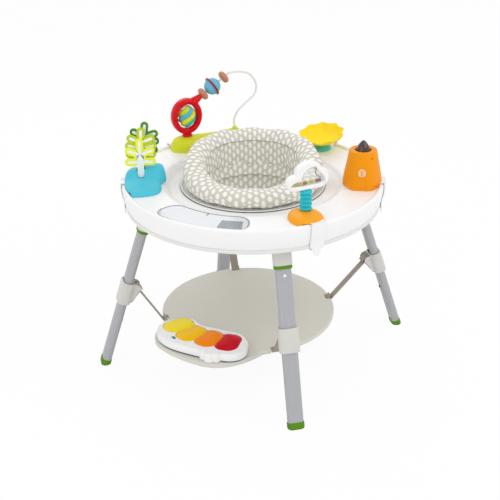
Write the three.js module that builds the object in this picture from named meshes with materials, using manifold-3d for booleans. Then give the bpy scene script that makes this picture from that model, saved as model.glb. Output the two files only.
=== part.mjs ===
// Baby activity centre: a round toy table on four splayed legs, with a padded seat that turns,
// a play platform slung from the legs by straps, and toys clipped round the rim.
// Lengths are in millimetres, angles in degrees. Z is up, and the origin lies on the floor
// under the middle of the table, with the legs on the X and Y axes.

import * as THREE from 'three';
import { mergeVertices } from 'three/addons/utils/BufferGeometryUtils.js';
import Module from 'manifold-3d';

// Clearances
const TOUCH_GAP = 0.3;
const SLIDE_GAP = 0.7;
const TURN_GAP = 1.4;
const CUT_OVERRUN = 20;

// Table
const TABLE_HEIGHT = 560;
const TABLE_DIAMETER = 760;
const SKIRT_HEIGHT = 72;
const SKIRT_DRAFT = 14;
const SKIRT_STATION_SHARES = [0.55, 1];
const SHELL_WALL = 4;
const RIM_ROUND = 7;
const RIM_STEPS = 4;
const DECK_DROP = 8;
const DISH_DIAMETER = 528;
const DISH_SLOPE = 16;
const DISH_DROP = 16;
const DISH_EASE_SHARES = [[0.5, 0.5]];
const SEAT_HOLE_DIAMETER = 392;
const RACE_WIDTH = 16;
const RACE_DEPTH = 7;
const RACE_LIP_HEIGHT = 1.6;
const RACE_LIP_WIDTH = 9;
const HOLE_LIP_DEPTH = 20;
const SEAM_HEIGHT = 12;
const SEAM_STEP = 1.6;
const LIP_ROUND = 3;
const TABLE_SEGMENTS = 44;

// Window in the deck
const WINDOW_DISH_MARGIN = 9;
const WINDOW_RIM_MARGIN = 23;
const WINDOW_FROM_ANGLE = -154;
const WINDOW_TO_ANGLE = -105;
const WINDOW_CORNER = 34;
const WINDOW_CORNER_LIMIT_SHARE = 0.45;
const WINDOW_STEPS = 4;
const WINDOW_LEDGE = 4;
const WINDOW_UNDER_MARGIN = 5;
const PANE_THICKNESS = 2.4;

// Legs
const LEG_ANGLES = { left: 180, front: -90, right: 0, back: 90 };
const FOOT_CIRCLE_DIAMETER = 940;
const SOCKET_INSET = 69.5;
const TUBE_WIDTH = 45;
const TUBE_DEPTH = 32;
const TUBE_CORNER = 12;
const TUBE_WALL = 1.6;
const TUBE_ENTRY = 6.3;
const CORNER_STEPS = 2;
const FOOT_CAP_HEIGHT = 20;
const FOOT_CAP_WALL = 2.5;
const FOOT_CAP_FLOOR = 6;
const SOCKET_REACH = 76;
const LEG_RING_HEIGHT = 9;
const LEG_RING_WALL = 3.4;
const SOCKET_WALL = 4;
const SOCKET_CAP = 5;
const SNAP_BUTTON_DIAMETER = 8;
const SNAP_BUTTON_HEIGHT = 2;
const SNAP_BUTTON_DROP = 18;
const PEG_DIAMETER = 8;
const PEG_HEIGHT = 3;
const PEG_LOWEST = 150;
const PEG_PITCH = 70;
const PEG_COUNT = 3;
const ROUND_STEPS = 8;

// Collars that slide on the legs
const COLLAR_HEIGHT = 74;
const COLLAR_SINK = 8;
const COLLAR_WALL = 5.4;
const COLLAR_CORNER = 15;
const COLLAR_BEVEL = 2;
const EAR_REACH = 19;
const EAR_HEIGHT = 34;
const EAR_THICKNESS = 5;
const EAR_DROP = 3;
const EAR_OUTLINE_SHARES = [[0, 0], [0.55, 0], [0.9, 0.1], [1, 0.28], [0.92, 0.46], [0.45, 0.72], [0, 1]];
const STRAP_BAR_DIAMETER = 7;

// Straps
const STRAP_WIDTH = 25;
const STRAP_THICKNESS = 2;
const STRAP_RETURN = 24;
const STRAP_SIDE_GAP = 1.5;
const WRAP_STEPS = 4;

// Platform
const PLATFORM_TOP = 127;
const PLATFORM_THICKNESS = 13;
const PLATFORM_DIAMETER = 528;
const PLATFORM_SHIFT = -20;
const PLATFORM_EDGE_ROUND = 3;
const PLATFORM_SKIN = 4;
const PLATFORM_BAND = 40;
const PLATFORM_STEPS = 54;
const LOBE_REACH = 362;
const LOBE_FROM_ANGLE = -177;
const LOBE_TO_ANGLE = -98;
const LOBE_RISE_ANGLE = 23;
const LOBE_FALL_ANGLE = 31;
const LOBE_EASE_SHARE = 1.12;
const NOTCH_DEPTH = 16;
const NOTCH_SIDE_GAP = 3;
const NOTCH_BAR_INSET = 6;
const RIB_WIDTH = 4;
const RIB_COUNT = 4;

// Piano on the platform
const PIANO_INNER_RADIUS = 207;
const PIANO_OUTER_RADIUS = 348;
const PIANO_MID_ANGLE = -137.5;
const PIANO_LENGTH = 286;
const PIANO_CORNER = 60;
const PIANO_STEPS = 5;
const PIANO_HEIGHT = 27;
const PIANO_BEVEL = 5;
const PIANO_OUTER_FLATTEN = 9;
const KEY_RADIUS = 280;
const KEY_COLOURS = ['yellow', 'amber', 'orange', 'red'];
const KEY_FROM_ANGLE = -153.6;
const KEY_PITCH_ANGLE = 11.7;
const KEY_LENGTH = 78;
const KEY_WIDTH = 55;
const KEY_CORNER = 24;
const KEY_CROWN = 7;
const KEY_CORNER_STEPS = 3;
const KEY_RISE = 4;
const KEY_SINK = 7;
const KEY_TRAVEL = 3;
const KEY_CROWN_SHARES = [[1, 0], [0.93, 0.55], [0.6, 0.94]];
const BUMP_RADIUS = 338;
const BUMP_ANGLE = -124;
const BUMP_SIZE = 30;
const BUMP_RISE = 3;
const BUMP_LOBE_SHARES = [[0, 0, 0.62], [-0.62, -0.1, 0.45], [0.62, -0.1, 0.45]];
const SWITCH_RADIUS = 328.5;
const SWITCH_ANGLE = -149;
const SWITCH_SLOT_LENGTH = 18;
const SWITCH_SLOT_WIDTH = 8;
const SWITCH_SLOT_DEPTH = 4;
const SWITCH_LENGTH = 8;
const SWITCH_RISE = 2.5;

// Seat
const SEAT_FACING_ANGLE = -103.5;
const SEAT_SEGMENTS = 40;
const RING_TUBE_WALL = 4;
const RING_TUBE_DEPTH = 26;
const BOLSTER_OUTER_DIAMETER = 404;
const BOLSTER_FRONT_WIDTH = 72;
const BOLSTER_BACK_WIDTH = 58;
const BOLSTER_FRONT_HEIGHT = 50;
const BOLSTER_BACK_HEIGHT = 110;
const BOLSTER_BACK_LEAN = 14;
const BOLSTER_STEPS = 44;
const BOLSTER_POINTS = 12;
const BOLSTER_FULLNESS_SHARE = 0.72;
const BOLSTER_TUFTS = 12;
const BOLSTER_TUFT_DEPTH = 1.6;
const SLING_FLANGE_THICKNESS = 5;
const SLING_DROP = 150;
const SLING_TOP_INSET = 70;
const SLING_WALL = 5;
const SLING_BOTTOM_SHARE = 0.66;
const SLING_PROFILE_SHARES = [[1, 0], [0.985, 0.25], [0.94, 0.5], [0.84, 0.74], [0.62, 0.92], [0.32, 0.99]];
const SLING_FOLD_DEPTH = 2;
const SLING_FOLDS = 8;
const SLING_STEPS = 28;
const LEG_HOLE_WIDTH = 104;
const LEG_HOLE_HEIGHT = 92;
const LEG_HOLE_LIFT = 62;
const LEG_HOLE_SPREAD_ANGLE = 38;
const LEG_HOLE_STEPS = 16;

// Clips over the rim
const CLIP_WIDTH = 42;
const CLIP_THICKNESS = 3.2;
const CLIP_GAP = 0.8;
const CLIP_BARREL_ANGLE = 40;
const CLIP_HOOK = 5;
const CLIP_HOOK_DROP = 1.6;
const CLIP_TAB_WIDTH = 22;
const CLIP_TAB_LENGTH = 20;
const CLIP_ARM_REACH = 52;
const CLIP_STATION_SHARES = [0.16, 0.45, 0.72, 1];
const TOY_RIM_GAP = 2;

// Bead toy
const BEAD_TOY_INSET = 50;
const BEAD_TOY_ANGLE = 118;
const WIRE_FOOT_INSET = 44;
const WIRE_FOOT_REACH = 183.7;
const RIDGE_START_REACH = 54.7;
const RIDGE_END_REACH = 23.5;
const RIDGE_WIDTH = 80;
const RIDGE_HEIGHT = 42;
const RIDGE_SHARES = [
  [0, 0.18, 0.25], [0.05, 0.62, 0.68], [0.12, 0.9, 0.94], [0.21, 1, 1], [0.31, 0.93, 0.95],
  [0.41, 0.74, 0.78], [0.52, 0.56, 0.58], [0.64, 0.44, 0.5], [0.75, 0.38, 0.58], [0.85, 0.34, 0.8],
  [0.92, 0.32, 0.95],
  [0.97, 0.26, 0.86], [1, 0.12, 0.4],
];
const RIDGE_ARCH_POINTS = 9;
const LOOP_WIDTH = 100;
const LOOP_HEIGHT = 113;
const LOOP_BAND = 18;
const LOOP_DEPTH = 28;
const LOOP_BEVEL = 7;
const LOOP_LEAN = 18;
const LOOP_NECK_WIDTH = 28;
const LOOP_NECK_HEIGHT = 12;
const LOOP_STEPS = 24;
const SPINNER_END_GAP = 0.6;
const SPINNER_WIDTH_SHARE = 0.86;
const SPINNER_HEIGHT = 70;
const SPINNER_LOBES = 5;
const SPINNER_LOBE_SHARE = 0.09;
const SPINNER_TWIST_ANGLE = -140;
const SPINNER_PIN_DIAMETER = 7;
const SPINNER_RINGS = 12;
const SPINNER_POINTS = 20;
const WIRE_DIAMETER = 7;
const WIRE_SIDES = 6;
const WIRE_STEPS = 34;
const WIRE_SLOPE_ANGLE = 31;
const WIRE_STRAIGHT = 112;
const WIRE_BEND_LEAD = 8;
const WIRE_HORN_ANGLE = 54;
const WIRE_HORN_LENGTH = 30;
const WIRE_HORN_WIDTH = 26;
const WIRE_HORN_TIP = 17;
const WIRE_SEAT_DEPTH = 12;
const WIRE_ARCH_SPAN = 100;
const WIRE_ARCH_HEIGHT = 181;
const WIRE_FOOT_SHARE = 0.22;
const WIRE_ROUTE_SHARES = [
  [0.2, 0.995], [0.41, 0.987], [0.74, 0.925], [0.95, 0.79], [1.01, 0.66], [0.91, 0.525],
  [0.61, 0.405], [0.34, 0.285], [0.2, 0.14],
];
const BEAD_DISC_DIAMETER = 40;
const BEAD_DISC_THICKNESS = 17;
const BEAD_DISC_CORNER = 5.5;
const BEAD_BALL_DIAMETER = 51;
const BEAD_RING_DIAMETER = 62;
const BEAD_RING_THICKNESS = 5;
const LOWER_DISC_PLACE = 9.5;
const BALL_PLACE = 47;
const UPPER_DISC_PLACE = 93;
const BEAD_BORE_GAP = 0.5;
const BEAD_STEPS = 12;

// Bowl
const BOWL_INSET = 58;
const BOWL_ANGLE = 35;
const BOWL_DIAMETER = 128;
const BOWL_DEPTH = 40;
const BOWL_WALL = 3;
const BOWL_PETALS = 10;
const BOWL_PETAL_REACH = 7;
const BOWL_SPINDLE_DIAMETER = 14;
const BOWL_SPINDLE_DEPTH = 10;
const BOWL_PROFILE_SHARES = [[0.34, 0], [0.6, 0.1], [0.82, 0.34], [0.94, 0.66], [1, 1]];
const BOWL_STEPS = 30;
const BOWL_BASE_DIAMETER = 66;
const BOWL_BASE_HEIGHT = 19;
const BOWL_BASE_SHARES = [[1, 0], [1, 0.33], [0.8, 0.6], [0.74, 1]];

// Pop-up tower
const TOWER_INSET = 58;
const TOWER_ANGLE = -22;
const TOWER_FACING_ANGLE = -88;
const TOWER_HEIGHT = 103;
const TOWER_TOP_DIAMETER = 78;
const TOWER_BASE_WIDTH = 108;
const TOWER_HOLE_SPARE = 9;
const TOWER_TOP_ROUND = 4;
const TOWER_SIDES = 6;
const TOWER_POINTS = 24;
const TOWER_PROFILE_SHARES = [
  [0, 1, 1], [0.14, 0.97, 0.9], [0.45, 0.66, 0.45], [0.75, 0.3, 0.15], [0.96, 0.04, 0],
];
const TOWER_CORNER_SHARE = 0.09;
const POPUP_DIAMETER = 40;
const POPUP_RISE = 27;
const POPUP_TRAVEL = 26;
const POPUP_LENGTH = 62;
const POPUP_PROFILE_SHARES = [[1, 0], [1, 0.52], [0.93, 0.62], [0.72, 0.76], [0.4, 0.9], [0.16, 0.98]];
const BUTTON_DIAMETER = 25;
const BUTTON_HEIGHT_PLACE = 34;
const BUTTON_RISE = 4;
const BUTTON_SINK = 5;
const BUTTON_TRAVEL = 3;

// Cloud toy
const CLOUD_INSET = 68;
const CLOUD_ANGLE = -77;
const CLOUD_BASE_WIDTH = 106;
const CLOUD_BASE_DEPTH = 92;
const CLOUD_BASE_HEIGHT = 27;
const CLOUD_BASE_SHARES = [[1, 0], [0.98, 0.3], [0.88, 0.62], [0.68, 0.86], [0.42, 0.98]];
const BELLOWS_DIAMETER = 34;
const BELLOWS_WAIST = 25;
const BELLOWS_LENGTH = 54;
const BELLOWS_RIBS = 5;
const CLOUD_WIDTH = 130;
const CLOUD_HEIGHT = 78;
const CLOUD_THICKNESS = 19;
const CLOUD_BEVEL = 4;
const CLOUD_LOBE_SHARES = [
  [-0.5, 0.2], [-0.49, 0.45], [-0.36, 0.58], [-0.27, 0.6], [-0.23, 0.82], [-0.06, 0.98], [0.12, 1],
  [0.27, 0.88], [0.33, 0.72], [0.45, 0.62], [0.5, 0.4], [0.47, 0.16], [0.36, 0.02], [0.12, 0.01],
  [-0.15, 0.01], [-0.4, 0.02],
];
const CLOUD_WINDOW_SHARES = [
  [-0.35, 0.2], [-0.32, 0.3], [-0.14, 0.42], [-0.08, 0.58], [0.06, 0.7], [0.2, 0.66], [0.26, 0.5],
  [0.36, 0.42], [0.4, 0.28], [0.36, 0.18], [0, 0.16],
];
const CLOUD_PANE_THICKNESS = 9;
const OUTLINE_STEPS = 36;

// Tree toy
const TREE_INSET = 58;
const TREE_ANGLE = 172;
const HILL_WIDTH = 108;
const HILL_LENGTH = 136;
const HILL_HEIGHT = 50;
const HILL_FRONT_HEIGHT = 9;
const HILL_SLOPE_TOP = 24;
const HILL_BEVEL = 7;
const HILL_OUTLINE_SHARES = [
  [0.28, 0.68], [-0.12, 0.69], [-0.45, 0.56], [-0.53, 0.36], [-0.47, 0.16], [-0.6, -0.06],
  [-0.58, -0.22], [-0.38, -0.31], [0, -0.3], [0.36, -0.28], [0.47, -0.1], [0.47, 0.2], [0.45, 0.5],
];
const TRUNK_WIDTH = 19;
const TRUNK_THICKNESS = 7;
const LEAF_WIDTH = 86;
const LEAF_FRONT_HEIGHT = 79.5;
const LEAF_REAR_HEIGHT = 90;
const LEAF_BAND = 6.5;
const LEAF_THICKNESS = 6;
const LEAF_LAYER_GAP = 1.2;
const LEAF_FINGER_WIDTH = 19.5;
const LEAF_TIP_STEPS = 4;
const LEAF_FRONT_FINGER_SHARES = [[0.15, 0.384, 0.126], [0.4, 0.364, 0.547]];
const LEAF_REAR_FINGER_SHARES = [[0.12, 0.372, 0.111], [0.31, 0.392, 0.4], [0.51, 0.337, 0.644]];
const LEAF_TOP_SHARE = 0.885;
const LEAF_BOTTOMS = { front: 57, middle: 77, back: 91.5 };
const LEAF_MIDDLE_LEAN_ANGLE = 2.5;
const LEAF_BACK_LEAN_ANGLE = 7;
const LEAF_STEM_WIDTH = 12;
const LEAF_PIVOT_HEIGHT = 30;
const LEAF_SWING_ANGLE = 12;
const TREE_PIN_DIAMETER = 6;
const STAR_GAP = 0.4;

// Colours
const COLOURS = {
  white: 0xf4f4f2, underside: 0xe9e9e6, clear: 0xe8eef2, grey: 0x9a9ca0, green: 0x6f9a14, stone: 0xdad9d3,
  webbing: 0xa79b8c, platform: 0xcfcfc8, yellow: 0xffd92e, amber: 0xfdb813, orange: 0xf98412, red: 0xd40f1a,
  fabric: 0xc4c1b8, lime: 0xcdda2a, sky: 0x74bfd4, wood: 0xb9775a, garnet: 0xa01c2e, teal: 0x5cc9b5,
  brown: 0x4a2e28, peach: 0xffc48a, aqua: 0x2fc0cf, water: 0x4fc8dc, leaf: 0xe6f03c, olive: 0xc8d23c,
  forest: 0x4e8f2a, ring: 0xc9c9c9,
};

const wasm = await Module();
wasm.setup();

// Solids and geometries
const dropFolded = (geometry) => {
  const old = geometry.index.array;
  const kept = [];
  for (let i = 0; i < old.length; i += 3) {
    const [a, b, c] = [old[i], old[i + 1], old[i + 2]];
    if (a !== b && b !== c && c !== a) kept.push(a, b, c);
  }
  geometry.setIndex(kept);
  return geometry;
};

const signedVolume = (geometry) => {
  const p = geometry.attributes.position;
  const index = geometry.index.array;
  const [a, b, c] = [new THREE.Vector3(), new THREE.Vector3(), new THREE.Vector3()];
  let total = 0;
  for (let i = 0; i < index.length; i += 3) {
    a.fromBufferAttribute(p, index[i]);
    b.fromBufferAttribute(p, index[i + 1]);
    c.fromBufferAttribute(p, index[i + 2]);
    total += a.dot(b.cross(c));
  }
  return total;
};

const toSolid = (geometry) => {
  const bare = geometry.clone();
  bare.deleteAttribute('normal');
  bare.deleteAttribute('uv');
  const merged = dropFolded(mergeVertices(bare));
  const index = Array.from(merged.index.array);
  if (signedVolume(merged) < 0) index.reverse();
  return new wasm.Manifold(new wasm.Mesh({
    numProp: 3,
    vertProperties: new Float32Array(merged.attributes.position.array),
    triVerts: new Uint32Array(index),
  }));
};

const toGeometry = (solid) => {
  const { vertProperties, triVerts } = solid.getMesh();
  const geometry = new THREE.BufferGeometry();
  geometry.setAttribute('position', new THREE.BufferAttribute(new Float32Array(vertProperties), 3));
  geometry.setIndex(new THREE.BufferAttribute(new Uint32Array(triVerts), 1));
  geometry.computeVertexNormals();
  return geometry;
};

const radians = (degrees) => THREE.MathUtils.degToRad(degrees);

const polar = (radius, angle, z = 0) => new THREE.Vector3(
  radius * Math.cos(radians(angle)), radius * Math.sin(radians(angle)), z);

// A turned solid from [radius, height] pairs. The profile starts and ends on the axis or closes.
const turned = (profile, segments) => {
  const points = profile.map(([r, z]) => new THREE.Vector2(r, z));
  const ends = [profile[0], profile[profile.length - 1]];
  if (ends.some(([r]) => r > 0)) points.push(points[0].clone());
  return toSolid(new THREE.LatheGeometry(points, segments).rotateX(Math.PI / 2));
};

// A slab of an outline between two heights, with rounded edges where a bevel is given.
const slab = (outline, bottom, top, bevel = 0, holes = [], bevelSteps = 1) => {
  const shape = new THREE.Shape(outline.map(([x, y]) => new THREE.Vector2(x, y)));
  holes.forEach((hole) => shape.holes.push(new THREE.Path(hole.map(([x, y]) => new THREE.Vector2(x, y)))));
  const geometry = new THREE.ExtrudeGeometry(shape, {
    depth: top - bottom - 2 * bevel,
    bevelEnabled: bevel > 0,
    bevelThickness: bevel,
    bevelSize: bevel,
    bevelOffset: -bevel,
    bevelSegments: bevelSteps,
  });
  return toSolid(geometry.translate(0, 0, bottom + bevel));
};

// The same slab standing up: the outline lies in the XZ plane and the depth runs along Y.
const upright = new THREE.Matrix4().makeRotationX(Math.PI / 2);
const standing = (outline, depth, bevel = 0, holes = [], bevelSteps = 1) =>
  moved(slab(outline, -depth / 2, depth / 2, bevel, holes, bevelSteps), upright);

const moved = (solid, matrix) => solid.transform(matrix.elements);

const shifted = (solid, x, y, z) => moved(solid, new THREE.Matrix4().makeTranslation(x, y, z));

const turnedBy = (solid, angle) => moved(solid, new THREE.Matrix4().makeRotationZ(radians(angle)));

const block = (x, y, z) => toSolid(new THREE.BoxGeometry(x, y, z));

const rod = (radius, length, steps = ROUND_STEPS) =>
  toSolid(new THREE.CylinderGeometry(radius, radius, length, steps).rotateX(Math.PI / 2));

const rodAlongY = (radius, length, steps = ROUND_STEPS) =>
  toSolid(new THREE.CylinderGeometry(radius, radius, length, steps));

const rodAlongX = (radius, length, steps = ROUND_STEPS) =>
  toSolid(new THREE.CylinderGeometry(radius, radius, length, steps).rotateZ(Math.PI / 2));

// A closed skin over rings of points: the rings loop round, or each end is closed on its middle.
const skin = (rings, loops = false) => {
  const size = rings[0].length;
  const points = rings.flat();
  const triangles = [];
  const bands = loops ? rings.length : rings.length - 1;
  for (let i = 0; i < bands; i++) {
    const low = i * size;
    const high = ((i + 1) % rings.length) * size;
    for (let j = 0; j < size; j++) {
      const k = (j + 1) % size;
      triangles.push(low + j, low + k, high + k, low + j, high + k, high + j);
    }
  }
  if (!loops) {
    [[0, rings[0]], [rings.length - 1, rings[rings.length - 1]]].forEach(([row, ring]) => {
      const middle = ring.reduce((sum, p) => sum.add(p), new THREE.Vector3()).divideScalar(size);
      points.push(middle);
      for (let j = 0; j < size; j++) {
        const [a, b] = [row * size + j, row * size + ((j + 1) % size)];
        triangles.push(points.length - 1, row === 0 ? b : a, row === 0 ? a : b);
      }
    });
  }
  const geometry = new THREE.BufferGeometry().setFromPoints(points);
  geometry.setIndex(triangles);
  return toSolid(geometry);
};

// The radius that clears the flats of a faceted circle
const flatRadius = (radius, segments) => radius * Math.cos(Math.PI / segments);

// Outlines
const roundedBox = (width, height, corner, steps = CORNER_STEPS, sideSteps = 1) => {
  const [a, b] = [width / 2 - corner, height / 2 - corner];
  const centres = [[a, b], [-a, b], [-a, -b], [a, -b]];
  const points = [];
  centres.forEach(([x, y], quarter) => {
    for (let i = 0; i <= steps; i++) {
      const angle = radians(90 * (quarter + i / steps));
      points.push([x + corner * Math.cos(angle), y + corner * Math.sin(angle)]);
    }
    const [nx, ny] = centres[(quarter + 1) % 4];
    const last = points[points.length - 1];
    for (let i = 1; i < sideSteps; i++) {
      const share = i / sideSteps;
      points.push([last[0] + (nx - x) * share, last[1] + (ny - y) * share]);
    }
  });
  return points;
};

const smoothOutline = (points, steps) => {
  const knots = points.map(([x, y]) => new THREE.Vector3(x, y, 0));
  const curve = new THREE.CatmullRomCurve3(knots, true, 'centripetal');
  return curve.getPoints(steps).slice(0, steps).map((p) => [p.x, p.y]);
};

const scaledShares = (shares, width, height) => shares.map(([x, y]) => [x * width, y * height]);

// Bends an outline round the table's axis: x runs along the arc and y runs outward.
const bent = (outline, radius, angle) => outline.map(([x, y]) => {
  const p = polar(radius + y, angle + THREE.MathUtils.radToDeg(x / radius));
  return [p.x, p.y];
});

const ellipse = (width, height, steps) => Array.from({ length: steps }, (_, i) => {
  const angle = radians(360 * i / steps);
  return [width / 2 * Math.cos(angle), height / 2 * Math.sin(angle)];
});

// The model
const model = new THREE.Group();
const add = (name, solid, colour, roughness = 0.5, extra = {}) => {
  const material = new THREE.MeshStandardMaterial({
    color: COLOURS[colour], roughness, metalness: 0, ...extra });
  const mesh = new THREE.Mesh(toGeometry(solid), material);
  mesh.name = name;
  model.add(mesh);
  return mesh;
};

// Table sizes that follow from the named ones
const tableRadius = TABLE_DIAMETER / 2;
const deckTop = TABLE_HEIGHT - DECK_DROP;
const dishTop = deckTop - DISH_DROP;
const raceTop = dishTop - RACE_DEPTH;
const rimZ = TABLE_HEIGHT - RIM_ROUND;
const rimRadius = tableRadius - RIM_ROUND;
const bottomZ = TABLE_HEIGHT - SKIRT_HEIGHT;
const seamZ = bottomZ + SEAM_HEIGHT;
const holeRadius = SEAT_HOLE_DIAMETER / 2;
const raceRadius = holeRadius + RACE_WIDTH;
const dishRadius = DISH_DIAMETER / 2;
const deckEdgeRadius = rimRadius - RIM_ROUND;
const holeLipBottom = raceTop - HOLE_LIP_DEPTH;
const skirtRadiusAt = (z) => tableRadius - SKIRT_DRAFT * ((rimZ - z) / (rimZ - bottomZ)) ** 2;

const skirtLine = (inset) => SKIRT_STATION_SHARES.map((share) => {
  const z = rimZ + (seamZ - rimZ) * share;
  return [skirtRadiusAt(z) - inset, z];
});

const dishLine = (drop) => DISH_EASE_SHARES.map(([along, up]) => [
  dishRadius - DISH_SLOPE * (1 - along), dishTop + DISH_DROP * up - drop]);

const rimLine = Array.from({ length: RIM_STEPS + 1 }, (_, i) => {
  const angle = Math.PI * (1 - i / RIM_STEPS);
  return [rimRadius + RIM_ROUND * Math.cos(angle), rimZ + RIM_ROUND * Math.sin(angle)];
});

const trayProfile = [
  [holeRadius, holeLipBottom],
  [holeRadius, raceTop],
  [raceRadius, raceTop],
  [raceRadius, dishTop + RACE_LIP_HEIGHT],
  [raceRadius + RACE_LIP_WIDTH, dishTop + RACE_LIP_HEIGHT],
  [raceRadius + RACE_LIP_WIDTH + RACE_LIP_HEIGHT, dishTop],
  [dishRadius - DISH_SLOPE, dishTop],
  ...dishLine(0),
  [dishRadius, deckTop],
  [deckEdgeRadius, deckTop],
  ...rimLine,
  ...skirtLine(0),
  ...skirtLine(SHELL_WALL).reverse(),
  [tableRadius - SHELL_WALL, deckTop - SHELL_WALL],
  [dishRadius, deckTop - SHELL_WALL],
  [dishRadius - DISH_SLOPE, dishTop - SHELL_WALL],
  [raceRadius + SHELL_WALL, dishTop - SHELL_WALL],
  [raceRadius + SHELL_WALL, raceTop - SHELL_WALL],
  [holeRadius + SHELL_WALL, raceTop - SHELL_WALL],
  [holeRadius + SHELL_WALL, holeLipBottom],
];

// Window outline: a band bent round the table, grown or shrunk by a margin
const windowInner = dishRadius + WINDOW_DISH_MARGIN;
const windowOuter = tableRadius - WINDOW_RIM_MARGIN;
const windowRadius = (windowInner + windowOuter) / 2;
const windowCorner = Math.min(WINDOW_CORNER, (windowOuter - windowInner) * WINDOW_CORNER_LIMIT_SHARE);
const windowAngle = (WINDOW_FROM_ANGLE + WINDOW_TO_ANGLE) / 2;
const windowOutline = (margin) => {
  const length = windowRadius * radians(WINDOW_TO_ANGLE - WINDOW_FROM_ANGLE) + 2 * margin;
  const width = windowOuter - windowInner + 2 * margin;
  const flat = roundedBox(length, width, windowCorner + margin, WINDOW_STEPS, WINDOW_STEPS);
  return bent(flat, windowRadius, windowAngle);
};
const rebateBottom = deckTop - PANE_THICKNESS - TOUCH_GAP;
const trayTop = turned(trayProfile, TABLE_SEGMENTS)
  .subtract(slab(windowOutline(0), rebateBottom, deckTop + CUT_OVERRUN))
  .subtract(slab(windowOutline(-WINDOW_LEDGE), deckTop - CUT_OVERRUN, deckTop + CUT_OVERRUN));
add('tray_top', trayTop, 'white', 0.35);
add('window_pane', slab(windowOutline(-TOUCH_GAP), deckTop - PANE_THICKNESS, deckTop), 'clear', 0.05,
  { transparent: true, opacity: 0.35 });

// Leg frame: Z runs up the leg from the floor, X points outward and Y runs round the table
const legRadius = FOOT_CIRCLE_DIAMETER / 2;
const splay = Math.atan((legRadius - (tableRadius - SOCKET_INSET)) / bottomZ);
const tubeTop = (bottomZ + TUBE_ENTRY) / Math.cos(splay);
const legRingBottom = tubeTop - SOCKET_REACH;
const legFrame = (angle) => new THREE.Matrix4().makeRotationZ(radians(angle))
  .multiply(new THREE.Matrix4().makeTranslation(legRadius, 0, 0))
  .multiply(new THREE.Matrix4().makeRotationY(-splay));
const legPoint = (x, z) => [
  legRadius + x * Math.cos(splay) - z * Math.sin(splay), x * Math.sin(splay) + z * Math.cos(splay)];
const tubeOutline = (margin) => roundedBox(
  TUBE_DEPTH + 2 * margin, TUBE_WIDTH + 2 * margin, TUBE_CORNER + margin);
const ringTop = legRingBottom + LEG_RING_HEIGHT;
const socketTop = tubeTop + SOCKET_CAP + TOUCH_GAP;
const tubeBottom = FOOT_CAP_FLOOR + (TUBE_DEPTH / 2) * Math.tan(splay);

// Lower shell with a moulded socket for each leg
const lipRadius = skirtRadiusAt(seamZ) + SEAM_STEP;
const undersideProfile = [
  [holeRadius, bottomZ],
  [lipRadius - LIP_ROUND, bottomZ],
  [lipRadius, bottomZ + LIP_ROUND],
  [lipRadius, seamZ - TOUCH_GAP],
  [lipRadius - SHELL_WALL - SEAM_STEP, seamZ - TOUCH_GAP],
  [lipRadius - SHELL_WALL - SEAM_STEP, bottomZ + SHELL_WALL],
  [holeRadius + SHELL_WALL, bottomZ + SHELL_WALL],
  [holeRadius + SHELL_WALL, holeLipBottom - TOUCH_GAP],
  [holeRadius, holeLipBottom - TOUCH_GAP],
];
const underWindow = slab(windowOutline(WINDOW_UNDER_MARGIN), bottomZ - CUT_OVERRUN,
  bottomZ + SHELL_WALL + CUT_OVERRUN);
let underside = turned(undersideProfile, TABLE_SEGMENTS).subtract(underWindow);
Object.values(LEG_ANGLES).forEach((angle) => {
  const sleeve = slab(tubeOutline(SOCKET_WALL), ringTop + TOUCH_GAP, socketTop);
  underside = underside.add(moved(sleeve, legFrame(angle)));
});
Object.values(LEG_ANGLES).forEach((angle) => {
  const bore = slab(tubeOutline(TOUCH_GAP), ringTop - CUT_OVERRUN, tubeTop + TOUCH_GAP);
  underside = underside.subtract(moved(bore, legFrame(angle)));
});
add('tray_underside', underside, 'underside', 0.45);

// One leg: tube with its snap button and height pegs, foot cap and end ring
const collarMid = PEG_LOWEST + PEG_PITCH + COLLAR_HEIGHT / 2 - COLLAR_SINK;
const legTube = () => {
  let tube = slab(tubeOutline(0), tubeBottom, tubeTop, 0, [tubeOutline(-TUBE_WALL)]);
  const boss = (x, height, diameter, z) => shifted(
    rodAlongX(diameter / 2, height + TUBE_WALL / 2), x, 0, z);
  const inner = -(TUBE_DEPTH / 2 + PEG_HEIGHT / 2 - TUBE_WALL / 4);
  for (let i = 0; i < PEG_COUNT; i++) {
    tube = tube.add(boss(inner, PEG_HEIGHT, PEG_DIAMETER, PEG_LOWEST + i * PEG_PITCH));
  }
  const outer = TUBE_DEPTH / 2 + SNAP_BUTTON_HEIGHT / 2 - TUBE_WALL / 4;
  return tube.add(boss(outer, SNAP_BUTTON_HEIGHT, SNAP_BUTTON_DIAMETER, legRingBottom - SNAP_BUTTON_DROP));
};

const floorCutter = (angle) => shifted(
  block(FOOT_CIRCLE_DIAMETER, FOOT_CIRCLE_DIAMETER, CUT_OVERRUN), polar(legRadius, angle).x,
  polar(legRadius, angle).y, -CUT_OVERRUN / 2);

const footCap = (angle) => {
  const cup = slab(tubeOutline(FOOT_CAP_WALL), -FOOT_CAP_FLOOR, FOOT_CAP_HEIGHT)
    .subtract(slab(tubeOutline(TOUCH_GAP), tubeBottom - TOUCH_GAP, FOOT_CAP_HEIGHT + CUT_OVERRUN));
  return moved(cup, legFrame(angle)).subtract(floorCutter(angle));
};

const legRing = () => slab(tubeOutline(LEG_RING_WALL), legRingBottom, ringTop, 0, [tubeOutline(TOUCH_GAP)]);

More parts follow.
